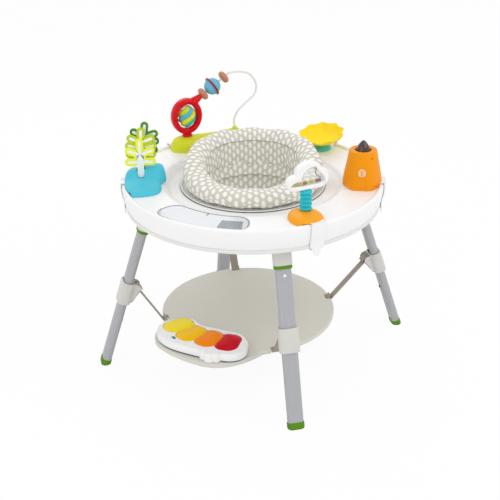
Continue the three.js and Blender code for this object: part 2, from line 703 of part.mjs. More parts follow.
// Collar: a sleeve with two ears on its inner side that hold the strap bar
const barX = -(TUBE_DEPTH / 2 + SLIDE_GAP + COLLAR_WALL + EAR_REACH - STRAP_BAR_DIAMETER);
const collarTop = collarMid + COLLAR_HEIGHT / 2;
const barZ = collarTop - EAR_DROP - STRAP_BAR_DIAMETER;
const collar = () => {
  const sleeveOutline = roundedBox(
    TUBE_DEPTH + 2 * (SLIDE_GAP + COLLAR_WALL), TUBE_WIDTH + 2 * (SLIDE_GAP + COLLAR_WALL), COLLAR_CORNER);
  const sleeve = slab(sleeveOutline, collarMid - COLLAR_HEIGHT / 2, collarTop, COLLAR_BEVEL);
  const face = -(TUBE_DEPTH / 2 + SLIDE_GAP + COLLAR_WALL / 2);
  const earOutline = EAR_OUTLINE_SHARES.map(([across, down]) => [
    face - (EAR_REACH + COLLAR_WALL / 2) * across, collarTop - EAR_DROP - EAR_HEIGHT * down]);
  const earPlace = STRAP_WIDTH / 2 + STRAP_SIDE_GAP + EAR_THICKNESS / 2;
  const ear = standing(earOutline, EAR_THICKNESS);
  const bore = slab(tubeOutline(SLIDE_GAP), collarMid - COLLAR_HEIGHT, collarMid + COLLAR_HEIGHT);
  const grooveDepth = PEG_HEIGHT + SLIDE_GAP;
  const groove = shifted(block(TUBE_DEPTH, PEG_DIAMETER + 2 * SLIDE_GAP, 2 * COLLAR_HEIGHT),
    -grooveDepth, 0, collarMid);
  return sleeve
    .add(shifted(ear, 0, earPlace, 0))
    .add(shifted(ear, 0, -earPlace, 0))
    .add(shifted(rodAlongY(STRAP_BAR_DIAMETER / 2, 2 * earPlace), barX, 0, barZ))
    .subtract(bore)
    .subtract(groove);
};

Object.entries(LEG_ANGLES).forEach(([side, angle]) => {
  add(`leg_tube_${side}`, moved(legTube(), legFrame(angle)), 'grey', 0.4, { metalness: 0.6 });
  add(`foot_cap_${side}`, footCap(angle), 'green', 0.6);
  add(`leg_ring_${side}`, moved(legRing(), legFrame(angle)), 'green', 0.5);
  add(`collar_${side}`, moved(collar(), legFrame(angle)), 'stone', 0.5);
});

// Platform: a disc, off centre towards the piano's side, with a lobe that carries the piano
const platformRadius = PLATFORM_DIAMETER / 2;
const platformBottom = PLATFORM_TOP - PLATFORM_THICKNESS;
const discEdgeAt = (angle) => {
  const across = PLATFORM_SHIFT * Math.cos(radians(angle));
  const off = PLATFORM_SHIFT * Math.sin(radians(angle));
  return across + Math.sqrt(platformRadius ** 2 - off ** 2);
};
const platformEdgeAt = (angle) => {
  const rise = THREE.MathUtils.clamp((angle - LOBE_FROM_ANGLE) / LOBE_RISE_ANGLE, 0, 1);
  const fall = THREE.MathUtils.clamp((LOBE_TO_ANGLE - angle) / LOBE_FALL_ANGLE, 0, 1);
  const swell = Math.sin(Math.PI / 2 * Math.min(rise, fall) ** LOBE_EASE_SHARE);
  return discEdgeAt(angle) + (LOBE_REACH - discEdgeAt(angle)) * swell;
};
const platformOutline = (inset) => Array.from({ length: PLATFORM_STEPS }, (_, i) => {
  const angle = -180 + 360 * i / PLATFORM_STEPS;
  const p = polar(platformEdgeAt(angle) - inset, angle);
  return [p.x, p.y];
});
const platformMid = PLATFORM_TOP - PLATFORM_THICKNESS / 2;
const notchWidth = STRAP_WIDTH + 2 * NOTCH_SIDE_GAP;
const lowerBarRadius = (angle) => discEdgeAt(angle) - NOTCH_BAR_INSET;

let platform = slab(platformOutline(0), platformBottom, PLATFORM_TOP, PLATFORM_EDGE_ROUND);
let hollow = slab(platformOutline(PLATFORM_BAND), platformBottom - CUT_OVERRUN, PLATFORM_TOP - PLATFORM_SKIN);
for (let i = 0; i < RIB_COUNT; i++) {
  const rib = block(TABLE_DIAMETER, RIB_WIDTH, PLATFORM_THICKNESS);
  hollow = hollow.subtract(turnedBy(shifted(rib, 0, 0, platformMid), 180 * (i + 0.5) / RIB_COUNT));
}
platform = platform.subtract(hollow);
Object.values(LEG_ANGLES).forEach((angle) => {
  const edge = discEdgeAt(angle);
  const notch = shifted(block(NOTCH_DEPTH + CUT_OVERRUN, notchWidth, PLATFORM_THICKNESS + CUT_OVERRUN),
    edge - NOTCH_DEPTH + (NOTCH_DEPTH + CUT_OVERRUN) / 2, 0, platformMid);
  const bar = shifted(rodAlongY(STRAP_BAR_DIAMETER / 2, notchWidth + PLATFORM_EDGE_ROUND),
    lowerBarRadius(angle), 0, platformMid);
  platform = platform.subtract(turnedBy(notch, angle)).add(turnedBy(bar, angle));
});
add('platform_disc', platform, 'platform', 0.55);

// Straps: webbing that wraps the platform's bar and the collar's bar and folds back on itself
const wrapRadius = STRAP_BAR_DIAMETER / 2 + TOUCH_GAP + STRAP_THICKNESS / 2;
const strapOutline = (angle) => {
  const lower = new THREE.Vector2(lowerBarRadius(angle), platformMid);
  const upper = new THREE.Vector2(...legPoint(barX, barZ));
  const along = upper.clone().sub(lower).normalize();
  const outward = new THREE.Vector2(along.y, -along.x);
  const side = (offset) => {
    const radius = wrapRadius + offset;
    const line = [lower.clone().addScaledVector(outward, -radius).addScaledVector(along, STRAP_RETURN)];
    for (let i = 0; i <= WRAP_STEPS; i++) {
      const turn = Math.PI * i / WRAP_STEPS;
      line.push(lower.clone().addScaledVector(outward, -radius * Math.cos(turn))
        .addScaledVector(along, -radius * Math.sin(turn)));
    }
    for (let i = 0; i <= WRAP_STEPS; i++) {
      const turn = Math.PI * i / WRAP_STEPS;
      line.push(upper.clone().addScaledVector(outward, radius * Math.cos(turn))
        .addScaledVector(along, radius * Math.sin(turn)));
    }
    line.push(upper.clone().addScaledVector(outward, -radius).addScaledVector(along, -STRAP_RETURN));
    return line.map((p) => [p.x, p.y]);
  };
  return [...side(STRAP_THICKNESS / 2), ...side(-STRAP_THICKNESS / 2).reverse()];
};
Object.entries(LEG_ANGLES).forEach(([side, angle]) => {
  add(`strap_${side}`, turnedBy(standing(strapOutline(angle), STRAP_WIDTH), angle), 'webbing', 0.9);
});

// Piano: a bent housing with four sprung keys, a rounded bump and a small sliding switch
const pianoRadius = (PIANO_INNER_RADIUS + PIANO_OUTER_RADIUS) / 2;
const pianoBottom = PLATFORM_TOP + TOUCH_GAP;
const pianoTop = pianoBottom + PIANO_HEIGHT;
const pianoOutline = () => {
  const width = PIANO_OUTER_RADIUS - PIANO_INNER_RADIUS;
  const flat = roundedBox(PIANO_LENGTH, width, PIANO_CORNER, PIANO_STEPS, PIANO_STEPS);
  const eased = flat.map(([x, y]) => {
    const middle = Math.max(0, 1 - (2 * x / PIANO_LENGTH) ** 2);
    return [x, y > 0 ? y - PIANO_OUTER_FLATTEN * middle : y];
  });
  return bent(eased, pianoRadius, PIANO_MID_ANGLE);
};
const keyFloor = pianoTop - KEY_SINK;
const keyAngle = (i) => KEY_FROM_ANGLE + i * KEY_PITCH_ANGLE;
const keyOutline = (margin) => roundedBox(
  KEY_LENGTH + 2 * margin, KEY_WIDTH + 2 * margin, KEY_CORNER + margin, KEY_CORNER_STEPS);
const keyPlaced = (solid, i) => turnedBy(shifted(solid, KEY_RADIUS, 0, 0), keyAngle(i));

let housing = slab(pianoOutline(), pianoBottom, pianoTop, PIANO_BEVEL);
BUMP_LOBE_SHARES.forEach(([along, out, size]) => {
  const lobe = slab(ellipse(BUMP_SIZE * size * 2, BUMP_SIZE * size * 2, ROUND_STEPS), pianoBottom,
    pianoTop + BUMP_RISE, BUMP_RISE);
  housing = housing.add(turnedBy(
    shifted(lobe, BUMP_RADIUS - PIANO_OUTER_FLATTEN + BUMP_SIZE * out, BUMP_SIZE * along, 0), BUMP_ANGLE));
});
for (let i = 0; i < KEY_COLOURS.length; i++) {
  housing = housing.subtract(keyPlaced(slab(keyOutline(SLIDE_GAP), keyFloor - KEY_TRAVEL - TOUCH_GAP,
    pianoTop + CUT_OVERRUN), i));
}
const switchSlot = shifted(block(SWITCH_SLOT_WIDTH, SWITCH_SLOT_LENGTH, SWITCH_SLOT_DEPTH + CUT_OVERRUN),
  SWITCH_RADIUS, 0, pianoTop - SWITCH_SLOT_DEPTH + (SWITCH_SLOT_DEPTH + CUT_OVERRUN) / 2);
housing = housing.subtract(turnedBy(switchSlot, SWITCH_ANGLE));
add('piano_housing', housing, 'white', 0.35);

const switchHeight = SWITCH_SLOT_DEPTH - TOUCH_GAP + SWITCH_RISE;
const switchKnob = shifted(block(SWITCH_SLOT_WIDTH - 2 * TOUCH_GAP, SWITCH_LENGTH, switchHeight),
  SWITCH_RADIUS, 0, pianoTop + SWITCH_RISE - switchHeight / 2);
add('piano_switch', turnedBy(switchKnob, SWITCH_ANGLE), 'sky', 0.4);

const keySolid = (i) => {
  const rings = [keyOutline(0).map(([x, y]) => new THREE.Vector3(x, y, keyFloor))];
  KEY_CROWN_SHARES.forEach(([spread, up]) => {
    rings.push(keyOutline(0).map(([x, y]) => new THREE.Vector3(
      x * spread, y * spread, pianoTop + KEY_RISE - KEY_CROWN + KEY_CROWN * up)));
  });
  const body = keyPlaced(skin(rings), i);
  return i === 0 ? body : body.subtract(keyPlaced(slab(keyOutline(SLIDE_GAP), keyFloor - CUT_OVERRUN,
    pianoTop + CUT_OVERRUN), i - 1));
};
KEY_COLOURS.forEach((colour, i) => {
  add(`piano_key_${colour}`, keySolid(i), colour, 0.3);
});

// Seat ring: a flange that rides in the race and a tube that keeps it centred in the hole
const flangeBottom = raceTop + TOUCH_GAP;
const flangeTop = dishTop + RACE_LIP_HEIGHT;
const ringRadius = raceRadius - TURN_GAP;
const ringTubeRadius = holeRadius - TURN_GAP;
const ringProfile = [
  [ringTubeRadius - RING_TUBE_WALL, flangeBottom - RING_TUBE_DEPTH],
  [ringTubeRadius, flangeBottom - RING_TUBE_DEPTH],
  [ringTubeRadius, flangeBottom],
  [ringRadius, flangeBottom],
  [ringRadius, flangeTop],
  [ringTubeRadius - RING_TUBE_WALL, flangeTop],
];
add('seat_ring', turned(ringProfile, SEAT_SEGMENTS), 'ring', 0.5);

// Seat bolster: a stuffed ring, low and wide in front, tall and leaning out behind,
// with a full crown, drawn-in sides and shallow gathers
const bolsterBottom = flangeTop + TOUCH_GAP;
const bolsterRings = Array.from({ length: BOLSTER_STEPS }, (_, i) => {
  const angle = 360 * i / BOLSTER_STEPS;
  const back = (1 - Math.cos(radians(angle))) / 2;
  const ease = back * back * (3 - 2 * back);
  const height = BOLSTER_FRONT_HEIGHT + (BOLSTER_BACK_HEIGHT - BOLSTER_FRONT_HEIGHT) * ease;
  const width = BOLSTER_FRONT_WIDTH + (BOLSTER_BACK_WIDTH - BOLSTER_FRONT_WIDTH) * ease;
  const gather = BOLSTER_TUFT_DEPTH * (0.5 - 0.5 * Math.cos(radians(BOLSTER_TUFTS * angle)));
  return Array.from({ length: BOLSTER_POINTS }, (_unused, j) => {
    const turn = 2 * Math.PI * j / BOLSTER_POINTS;
    const [c, s] = [Math.cos(turn), Math.sin(turn)];
    const across = Math.sign(c) * Math.abs(c) ** BOLSTER_FULLNESS_SHARE * (width / 2 - gather);
    const up = Math.sign(s) * Math.abs(s) ** BOLSTER_FULLNESS_SHARE * (height / 2 - gather);
    const lift = (up + height / 2) / height;
    const radius = BOLSTER_OUTER_DIAMETER / 2 - BOLSTER_BACK_LEAN * ease * (1 - lift) - width / 2 + across;
    return polar(radius, SEAT_FACING_ANGLE + angle, bolsterBottom + height / 2 + up - gather);
  });
});
const bolsterFloor = shifted(block(TABLE_DIAMETER, TABLE_DIAMETER, CUT_OVERRUN), 0, 0,
  bolsterBottom - CUT_OVERRUN / 2);
add('seat_bolster', skin(bolsterRings, true).subtract(bolsterFloor), 'fabric', 0.9);

// Seat sling: a fabric bucket hung inside the ring, softly folded, with two leg holes
const slingTop = flangeTop;
const slingFlangeRadius = flatRadius(ringTubeRadius - RING_TUBE_WALL, SEAT_SEGMENTS) - TOUCH_GAP;
const slingRadius = slingFlangeRadius - SLING_TOP_INSET / 2;
const slingRing = (radius, z, fold) => Array.from({ length: SLING_STEPS }, (_, i) => {
  const angle = 360 * i / SLING_STEPS;
  return polar(radius + fold * Math.cos(radians(SLING_FOLDS * angle)), SEAT_FACING_ANGLE + angle, z);
});
const slingRadiusAt = (spread, down) => slingRadius * (spread - (1 - SLING_BOTTOM_SHARE) * down * spread);
const slingZAt = (down) => slingTop - SLING_FLANGE_THICKNESS - (SLING_DROP - SLING_FLANGE_THICKNESS) * down;
const slingOuter = skin([
  slingRing(slingFlangeRadius, slingTop, 0),
  slingRing(slingFlangeRadius, slingZAt(0), 0),
  ...SLING_PROFILE_SHARES.map(([spread, down]) => slingRing(
    slingRadiusAt(spread, down), slingZAt(down), SLING_FOLD_DEPTH * spread)),
]);
const slingInner = skin([
  slingRing(slingRadiusAt(1, 0) - SLING_WALL, slingTop + CUT_OVERRUN, 0),
  slingRing(slingRadiusAt(1, 0) - SLING_WALL, slingTop, 0),
  ...SLING_PROFILE_SHARES.slice(1).map(([spread, down]) => slingRing(
    slingRadiusAt(spread, down) - SLING_WALL, slingZAt(down) + SLING_WALL, SLING_FOLD_DEPTH * spread)),
]);
const legHole = (side) => {
  const cutter = slab(ellipse(LEG_HOLE_HEIGHT, LEG_HOLE_WIDTH, LEG_HOLE_STEPS), 0, holeRadius);
  const across = moved(cutter, new THREE.Matrix4().makeRotationY(Math.PI / 2));
  const lifted = shifted(across, 0, 0, slingTop - SLING_DROP + LEG_HOLE_LIFT);
  return turnedBy(lifted, SEAT_FACING_ANGLE + side * LEG_HOLE_SPREAD_ANGLE);
};
add('seat_sling', slingOuter.subtract(slingInner).subtract(legHole(1)).subtract(legHole(-1)), 'fabric', 0.95);

// Toy frames: the origin on the deck, inset from the table's edge, X outward and Y round the table
const toyFloor = deckTop + TOUCH_GAP;
const toyFrame = (inset, angle) => new THREE.Matrix4().makeRotationZ(radians(angle))
  .multiply(new THREE.Matrix4().makeTranslation(tableRadius - inset, 0, toyFloor));
const deckColumn = shifted(rod(deckEdgeRadius - TOY_RIM_GAP, 2 * TABLE_HEIGHT, TABLE_SEGMENTS),
  0, 0, TABLE_HEIGHT);
const trimmed = (solid) => solid.intersect(deckColumn);

// Clips: an arm on each toy base reaches over the rim and carries a hinged flap that hooks under
const barrelRadius = CLIP_THICKNESS;
const barrelReach = RIM_ROUND + CLIP_GAP + barrelRadius;
const barrelR = rimRadius + barrelReach * Math.cos(radians(CLIP_BARREL_ANGLE));
const barrelZ = rimZ + barrelReach * Math.sin(radians(CLIP_BARREL_ANGLE));
const clipArm = (angle) => {
  const bottom = TABLE_HEIGHT + CLIP_GAP;
  const arm = shifted(block(CLIP_ARM_REACH, CLIP_WIDTH, CLIP_THICKNESS), barrelR - CLIP_ARM_REACH / 2, 0,
    bottom + CLIP_THICKNESS / 2);
  const footEnd = deckEdgeRadius - TOY_RIM_GAP;
  const footLength = footEnd - (barrelR - CLIP_ARM_REACH);
  const foot = shifted(block(footLength, CLIP_WIDTH, bottom - toyFloor + CLIP_THICKNESS / 2),
    footEnd - footLength / 2, 0, (toyFloor + bottom + CLIP_THICKNESS / 2) / 2);
  const seat = shifted(rodAlongY(barrelRadius + TOUCH_GAP, CLIP_WIDTH + CUT_OVERRUN), barrelR, 0, barrelZ);
  return turnedBy(arm.add(foot).subtract(seat), angle);
};
const clipFlap = (angle) => {
  const face = CLIP_STATION_SHARES.map((share) => {
    const z = barrelZ + (bottomZ - CLIP_HOOK_DROP - barrelZ) * share;
    return [Math.max(skirtRadiusAt(z), z < seamZ ? lipRadius : 0) + CLIP_GAP, z];
  });
  const hookZ = bottomZ - CLIP_HOOK_DROP;
  const hookR = face[face.length - 1][0];
  const outline = [
    [barrelR, barrelZ + barrelRadius / 2],
    [barrelR - barrelRadius / 2, barrelZ],
    ...face,
    [hookR - CLIP_HOOK, hookZ],
    [hookR - CLIP_HOOK, hookZ - CLIP_THICKNESS],
    [hookR + CLIP_THICKNESS, hookZ - CLIP_THICKNESS],
    ...face.map(([r, z]) => [r + CLIP_THICKNESS, z]).reverse(),
    [barrelR + barrelRadius, barrelZ],
  ];
  const tab = [
    [hookR, hookZ],
    [hookR, hookZ - CLIP_TAB_LENGTH],
    [hookR + CLIP_THICKNESS / 2, hookZ - CLIP_TAB_LENGTH - CLIP_THICKNESS / 2],
    [hookR + CLIP_THICKNESS, hookZ - CLIP_TAB_LENGTH],
    [hookR + CLIP_THICKNESS, hookZ],
  ];
  const flap = standing(outline, CLIP_WIDTH)
    .add(shifted(rodAlongY(barrelRadius, CLIP_WIDTH), barrelR, 0, barrelZ))
    .add(standing(tab, CLIP_TAB_WIDTH));
  return turnedBy(flap, angle);
};

// Bead toy: a low ridge that follows the rim, a loop with a spinner, and beads on an arched wire
const loopRadius = tableRadius - BEAD_TOY_INSET;
const wireFootRadius = tableRadius - WIRE_FOOT_INSET;
const footCosine = (loopRadius ** 2 + wireFootRadius ** 2 - WIRE_FOOT_REACH ** 2)
  / (2 * loopRadius * wireFootRadius);
const wireFootAngle = BEAD_TOY_ANGLE - THREE.MathUtils.radToDeg(Math.acos(footCosine));
const ridgeFrom = BEAD_TOY_ANGLE + THREE.MathUtils.radToDeg(RIDGE_START_REACH / loopRadius);
const ridgeTo = wireFootAngle - THREE.MathUtils.radToDeg(RIDGE_END_REACH / wireFootRadius);
const ridgeFrames = RIDGE_SHARES.map(([along, wide, high]) => {
  const angle = ridgeFrom + (ridgeTo - ridgeFrom) * along;
  const reach = (ridgeFrom - BEAD_TOY_ANGLE) / (ridgeFrom - ridgeTo);
  const drift = THREE.MathUtils.clamp((along - reach) / (1 - reach), 0, 1);
  const radius = loopRadius + (wireFootRadius - loopRadius) * drift;
  return Array.from({ length: RIDGE_ARCH_POINTS }, (_, i) => {
    const turn = Math.PI * i / (RIDGE_ARCH_POINTS - 1);
    const across = Math.cos(turn) * RIDGE_WIDTH / 2 * wide;
    return polar(radius + across, angle, toyFloor + Math.sin(turn) ** 0.8 * RIDGE_HEIGHT * high);
  });
});
const loopPlace = polar(loopRadius, BEAD_TOY_ANGLE);
const wireFoot = polar(wireFootRadius, wireFootAngle);
const beadTurn = THREE.MathUtils.radToDeg(Math.atan2(wireFoot.y - loopPlace.y, wireFoot.x - loopPlace.x));
const beadFrame = new THREE.Matrix4().makeTranslation(loopPlace.x, loopPlace.y, toyFloor + RIDGE_HEIGHT)
  .multiply(new THREE.Matrix4().makeRotationZ(radians(beadTurn)));
const wireFootX = wireFoot.distanceTo(loopPlace);

// Loop: an oval band on a neck, with a horn on its upper right that takes the wire
const loopMidX = LOOP_LEAN;
const loopMidZ = LOOP_NECK_HEIGHT + LOOP_HEIGHT / 2 - LOOP_BAND / 4;
const oval = (width, height) => ellipse(width, height, LOOP_STEPS)
  .map(([x, z]) => [x + loopMidX, z + loopMidZ]);
const hornRight = loopMidX + LOOP_WIDTH / 2 * Math.cos(radians(WIRE_HORN_ANGLE)) - LOOP_BAND / 4;
const hornUp = loopMidZ + LOOP_HEIGHT / 2 * Math.sin(radians(WIRE_HORN_ANGLE)) - LOOP_BAND / 4;
const alongWire = new THREE.Vector3(
  Math.cos(radians(WIRE_SLOPE_ANGLE)), 0, Math.sin(radians(WIRE_SLOPE_ANGLE)));
const onWire = (distance) => new THREE.Vector3(hornRight, 0, hornUp)
  .addScaledVector(alongWire, WIRE_HORN_LENGTH + distance);
const wireAligned = (solid, distance) => moved(solid, new THREE.Matrix4().makeTranslation(onWire(distance))
  .multiply(new THREE.Matrix4().makeRotationY(radians(90 - WIRE_SLOPE_ANGLE))));
const neckTop = LOOP_NECK_HEIGHT + LOOP_BAND / 2;
const neck = shifted(block(LOOP_NECK_WIDTH, LOOP_DEPTH - LOOP_BEVEL, neckTop), loopMidX, 0,
  neckTop / 2 + TOUCH_GAP);
const hornCone = new THREE.CylinderGeometry(
  WIRE_HORN_TIP / 2, WIRE_HORN_WIDTH / 2, WIRE_HORN_LENGTH, ROUND_STEPS).rotateX(Math.PI / 2);
const horn = wireAligned(toSolid(hornCone), -WIRE_HORN_LENGTH / 2);
const socketRod = rod(WIRE_DIAMETER / 2 + TOUCH_GAP, WIRE_SEAT_DEPTH + CUT_OVERRUN, 2 * WIRE_SIDES);
const wireSocket = wireAligned(socketRod, (CUT_OVERRUN - WIRE_SEAT_DEPTH) / 2);
const holeHeight = LOOP_HEIGHT - 2 * LOOP_BAND;
const holeCutter = standing(oval(LOOP_WIDTH - 2 * LOOP_BAND, holeHeight), LOOP_DEPTH + CUT_OVERRUN);
const pinHole = shifted(rod(SPINNER_PIN_DIAMETER / 2 + SLIDE_GAP, holeHeight + LOOP_BAND),
  loopMidX, 0, loopMidZ);
const loopSolid = standing(oval(LOOP_WIDTH, LOOP_HEIGHT), LOOP_DEPTH, LOOP_BEVEL, [], 2)
  .add(neck).add(horn).subtract(holeCutter).subtract(pinHole).subtract(wireSocket);
add('spinner_loop', moved(loopSolid, beadFrame), 'red', 0.25);

// Spinner: an egg with twisted lobes on a pin that turns in the loop
const spinnerRadius = (LOOP_WIDTH / 2 - LOOP_BAND) * SPINNER_WIDTH_SHARE;
const spinnerRings = Array.from({ length: SPINNER_RINGS }, (_, i) => {
  const up = -Math.cos(Math.PI * (i + 0.5) / SPINNER_RINGS);
  const spread = spinnerRadius * Math.sqrt(1 - up * up);
  return Array.from({ length: SPINNER_POINTS }, (_unused, j) => {
    const angle = 360 * j / SPINNER_POINTS;
    const phase = radians(SPINNER_LOBES * (angle + SPINNER_TWIST_ANGLE * up));
    const point = polar(spread * (1 + SPINNER_LOBE_SHARE * Math.cos(phase)), angle);
    return point.add(new THREE.Vector3(loopMidX, 0, loopMidZ + up * SPINNER_HEIGHT / 2));
  });
});
const spinnerPin = shifted(rod(SPINNER_PIN_DIAMETER / 2, holeHeight + LOOP_BAND - 2 * SPINNER_END_GAP),
  loopMidX, 0, loopMidZ);
add('spinner_ball', moved(skin(spinnerRings).add(spinnerPin), beadFrame), 'leaf', 0.3);

// Wire: straight where the beads sit, then an arch and a curl down to its foot
const arch = WIRE_ROUTE_SHARES.map(([along, up]) => new THREE.Vector3(
  wireFootX + WIRE_ARCH_SPAN * (along - WIRE_FOOT_SHARE), 0, WIRE_ARCH_HEIGHT * up));
const wireRoute = [onWire(TOUCH_GAP - WIRE_SEAT_DEPTH), onWire(0), onWire(WIRE_STRAIGHT / 2),
  onWire(WIRE_STRAIGHT - WIRE_BEND_LEAD), onWire(WIRE_STRAIGHT),
  ...arch, new THREE.Vector3(wireFootX, 0, 0), new THREE.Vector3(wireFootX, 0, TOUCH_GAP - WIRE_SEAT_DEPTH)];
const wireCurve = new THREE.CatmullRomCurve3(wireRoute, false, 'centripetal');
const wireSection = new THREE.Shape(ellipse(WIRE_DIAMETER, WIRE_DIAMETER, WIRE_SIDES)
  .map(([x, y]) => new THREE.Vector2(x, y)));
const wireSolid = toSolid(new THREE.ExtrudeGeometry(wireSection, {
  steps: WIRE_STEPS, extrudePath: wireCurve, bevelEnabled: false }));
add('bead_wire', moved(wireSolid, beadFrame), 'white', 0.2);

const ridgeSocket = moved(shifted(socketRod, wireFootX, 0, (CUT_OVERRUN - WIRE_SEAT_DEPTH) / 2), beadFrame);
const neckBlock = block(LOOP_NECK_WIDTH, LOOP_DEPTH, CUT_OVERRUN);
const neckSeat = moved(shifted(neckBlock, loopMidX, 0, CUT_OVERRUN / 2), beadFrame);
const ridge = trimmed(skin(ridgeFrames)).add(clipArm(BEAD_TOY_ANGLE))
  .subtract(ridgeSocket).subtract(neckSeat);
add('bead_base', ridge, 'lime', 0.35);
add('clip_beads', clipFlap(BEAD_TOY_ANGLE), 'white', 0.4);

// Beads
const boreRadius = WIRE_DIAMETER / 2 + BEAD_BORE_GAP;
const discRadius = BEAD_DISC_DIAMETER / 2;
const beadDiscProfile = roundedBox(discRadius - boreRadius, BEAD_DISC_THICKNESS, BEAD_DISC_CORNER, 1)
  .map(([r, z]) => [r + (discRadius + boreRadius) / 2, z]);
const beadDisc = turned(beadDiscProfile, BEAD_STEPS);
const bore = rod(boreRadius, BEAD_RING_DIAMETER, BEAD_STEPS);
const ballRadius = BEAD_BALL_DIAMETER / 2;
const ball = toSolid(new THREE.SphereGeometry(ballRadius, BEAD_STEPS, ROUND_STEPS).rotateX(Math.PI / 2));
const ringInner = ballRadius + TOUCH_GAP;
const beadRing = turned([
  [ringInner, -BEAD_RING_THICKNESS / 2], [BEAD_RING_DIAMETER / 2, -BEAD_RING_THICKNESS / 2],
  [BEAD_RING_DIAMETER / 2, BEAD_RING_THICKNESS / 2], [ringInner, BEAD_RING_THICKNESS / 2],
], 2 * BEAD_STEPS);
const onBeadWire = (solid, place) => moved(wireAligned(solid, place), beadFrame);
add('bead_disc_lower', onBeadWire(beadDisc, LOWER_DISC_PLACE), 'wood', 0.6);
add('bead_ball', onBeadWire(ball.subtract(bore), BALL_PLACE), 'sky', 0.3);
add('bead_ring', onBeadWire(beadRing, BALL_PLACE), 'garnet', 0.4);
add('bead_disc_upper', onBeadWire(beadDisc, UPPER_DISC_PLACE), 'wood', 0.6);

// Bowl: a shallow dish edged with petals, on a spindle in a round base
const bowlFrame = toyFrame(BOWL_INSET, BOWL_ANGLE);
const bowlFloor = BOWL_BASE_HEIGHT + TOUCH_GAP;
const bowlRing = (spread, up, inset) => Array.from({ length: BOWL_STEPS }, (_, i) => {
  const angle = 360 * i / BOWL_STEPS;
  const petal = BOWL_PETAL_REACH * spread ** 4 * (0.5 + 0.5 * Math.cos(radians(BOWL_PETALS * angle)));
  return polar(BOWL_DIAMETER / 2 * spread + petal - inset, angle, bowlFloor + up);
});
const bowlOuter = BOWL_PROFILE_SHARES.map(([spread, up]) => bowlRing(spread, BOWL_DEPTH * up, 0));
const bowlInner = BOWL_PROFILE_SHARES.map(([spread, up]) => bowlRing(
  spread, BOWL_WALL + (BOWL_DEPTH - BOWL_WALL) * up, BOWL_WALL));
const spindle = shifted(rod(BOWL_SPINDLE_DIAMETER / 2, BOWL_SPINDLE_DEPTH + BOWL_WALL), 0, 0,
  bowlFloor + (BOWL_WALL - BOWL_SPINDLE_DEPTH) / 2);
const bowlSolid = skin([...bowlOuter, ...bowlInner.reverse()]).add(spindle);
add('bowl', moved(bowlSolid, bowlFrame), 'yellow', 0.35);

const bowlBaseProfile = [[0, 0], ...BOWL_BASE_SHARES.map(([spread, up]) => [
  BOWL_BASE_DIAMETER / 2 * spread, BOWL_BASE_HEIGHT * up]), [0, BOWL_BASE_HEIGHT]];
const spindleFloor = bowlFloor - BOWL_SPINDLE_DEPTH - TOUCH_GAP;
const spindleBore = shifted(rod(BOWL_SPINDLE_DIAMETER / 2 + SLIDE_GAP, CUT_OVERRUN), 0, 0,
  spindleFloor + CUT_OVERRUN / 2);
const bowlBaseSolid = turned(bowlBaseProfile, BEAD_STEPS).subtract(spindleBore);
add('bowl_base', moved(bowlBaseSolid, bowlFrame).add(clipArm(BOWL_ANGLE)), 'teal', 0.4);
add('clip_bowl', clipFlap(BOWL_ANGLE), 'white', 0.4);

// Tower: six rounded corners at the foot ease into a round mouth that holds a sprung pop-up
const towerFrame = toyFrame(TOWER_INSET, TOWER_ANGLE);
const towerRing = (up, foot, corner) => Array.from({ length: TOWER_POINTS }, (_, i) => {
  const angle = 360 * i / TOWER_POINTS;
  const mouth = TOWER_TOP_DIAMETER / 2;
  const wide = TOWER_BASE_WIDTH / 2;
  const wave = Math.cos(radians(TOWER_SIDES * (angle + TOWER_FACING_ANGLE)));
  const cornered = 1 + TOWER_CORNER_SHARE * corner * (wave - 1) / 2;
  return polar((mouth + (wide - mouth) * foot) * cornered, angle, TOWER_HEIGHT * up);
});
const towerRings = TOWER_PROFILE_SHARES.map(([up, foot, corner]) => towerRing(up, foot, corner));
towerRings.push(Array.from({ length: TOWER_POINTS }, (_, i) => polar(
  TOWER_TOP_DIAMETER / 2 - TOWER_TOP_ROUND, 360 * i / TOWER_POINTS, TOWER_HEIGHT)));
const buttonFrame = (out) => new THREE.Matrix4().makeRotationZ(radians(TOWER_FACING_ANGLE))
  .multiply(new THREE.Matrix4().makeTranslation(out, 0, BUTTON_HEIGHT_PLACE));
const buttonSpread = 1 - BUTTON_HEIGHT_PLACE / TOWER_HEIGHT;
const towerFace = (TOWER_TOP_DIAMETER + (TOWER_BASE_WIDTH - TOWER_TOP_DIAMETER) * buttonSpread ** 2) / 2;
const popupBottom = TOWER_HEIGHT + POPUP_RISE - POPUP_LENGTH;
const holeFloor = popupBottom - POPUP_TRAVEL - TOWER_HOLE_SPARE;
const holeTop = TOWER_HEIGHT + CUT_OVERRUN;
const towerHole = shifted(rod(POPUP_DIAMETER / 2 + SLIDE_GAP, holeTop - holeFloor, 2 * ROUND_STEPS),
  0, 0, (holeFloor + holeTop) / 2);
const pocketLength = BUTTON_SINK + BUTTON_TRAVEL + CUT_OVERRUN;
const buttonPocket = moved(rodAlongX(BUTTON_DIAMETER / 2 + SLIDE_GAP, pocketLength, 2 * ROUND_STEPS),
  buttonFrame(towerFace + CUT_OVERRUN - pocketLength / 2));
const towerSolid = skin(towerRings).subtract(towerHole).subtract(buttonPocket);
add('tower_body', trimmed(moved(towerSolid, towerFrame)).add(clipArm(TOWER_ANGLE)), 'orange', 0.35);
add('clip_tower', clipFlap(TOWER_ANGLE), 'white', 0.4);

const popupProfile = [[0, popupBottom], ...POPUP_PROFILE_SHARES.map(([spread, up]) => [
  POPUP_DIAMETER / 2 * spread, popupBottom + POPUP_LENGTH * up]), [0, popupBottom + POPUP_LENGTH]];
add('tower_popup', moved(turned(popupProfile, 2 * ROUND_STEPS), towerFrame), 'brown', 0.15);

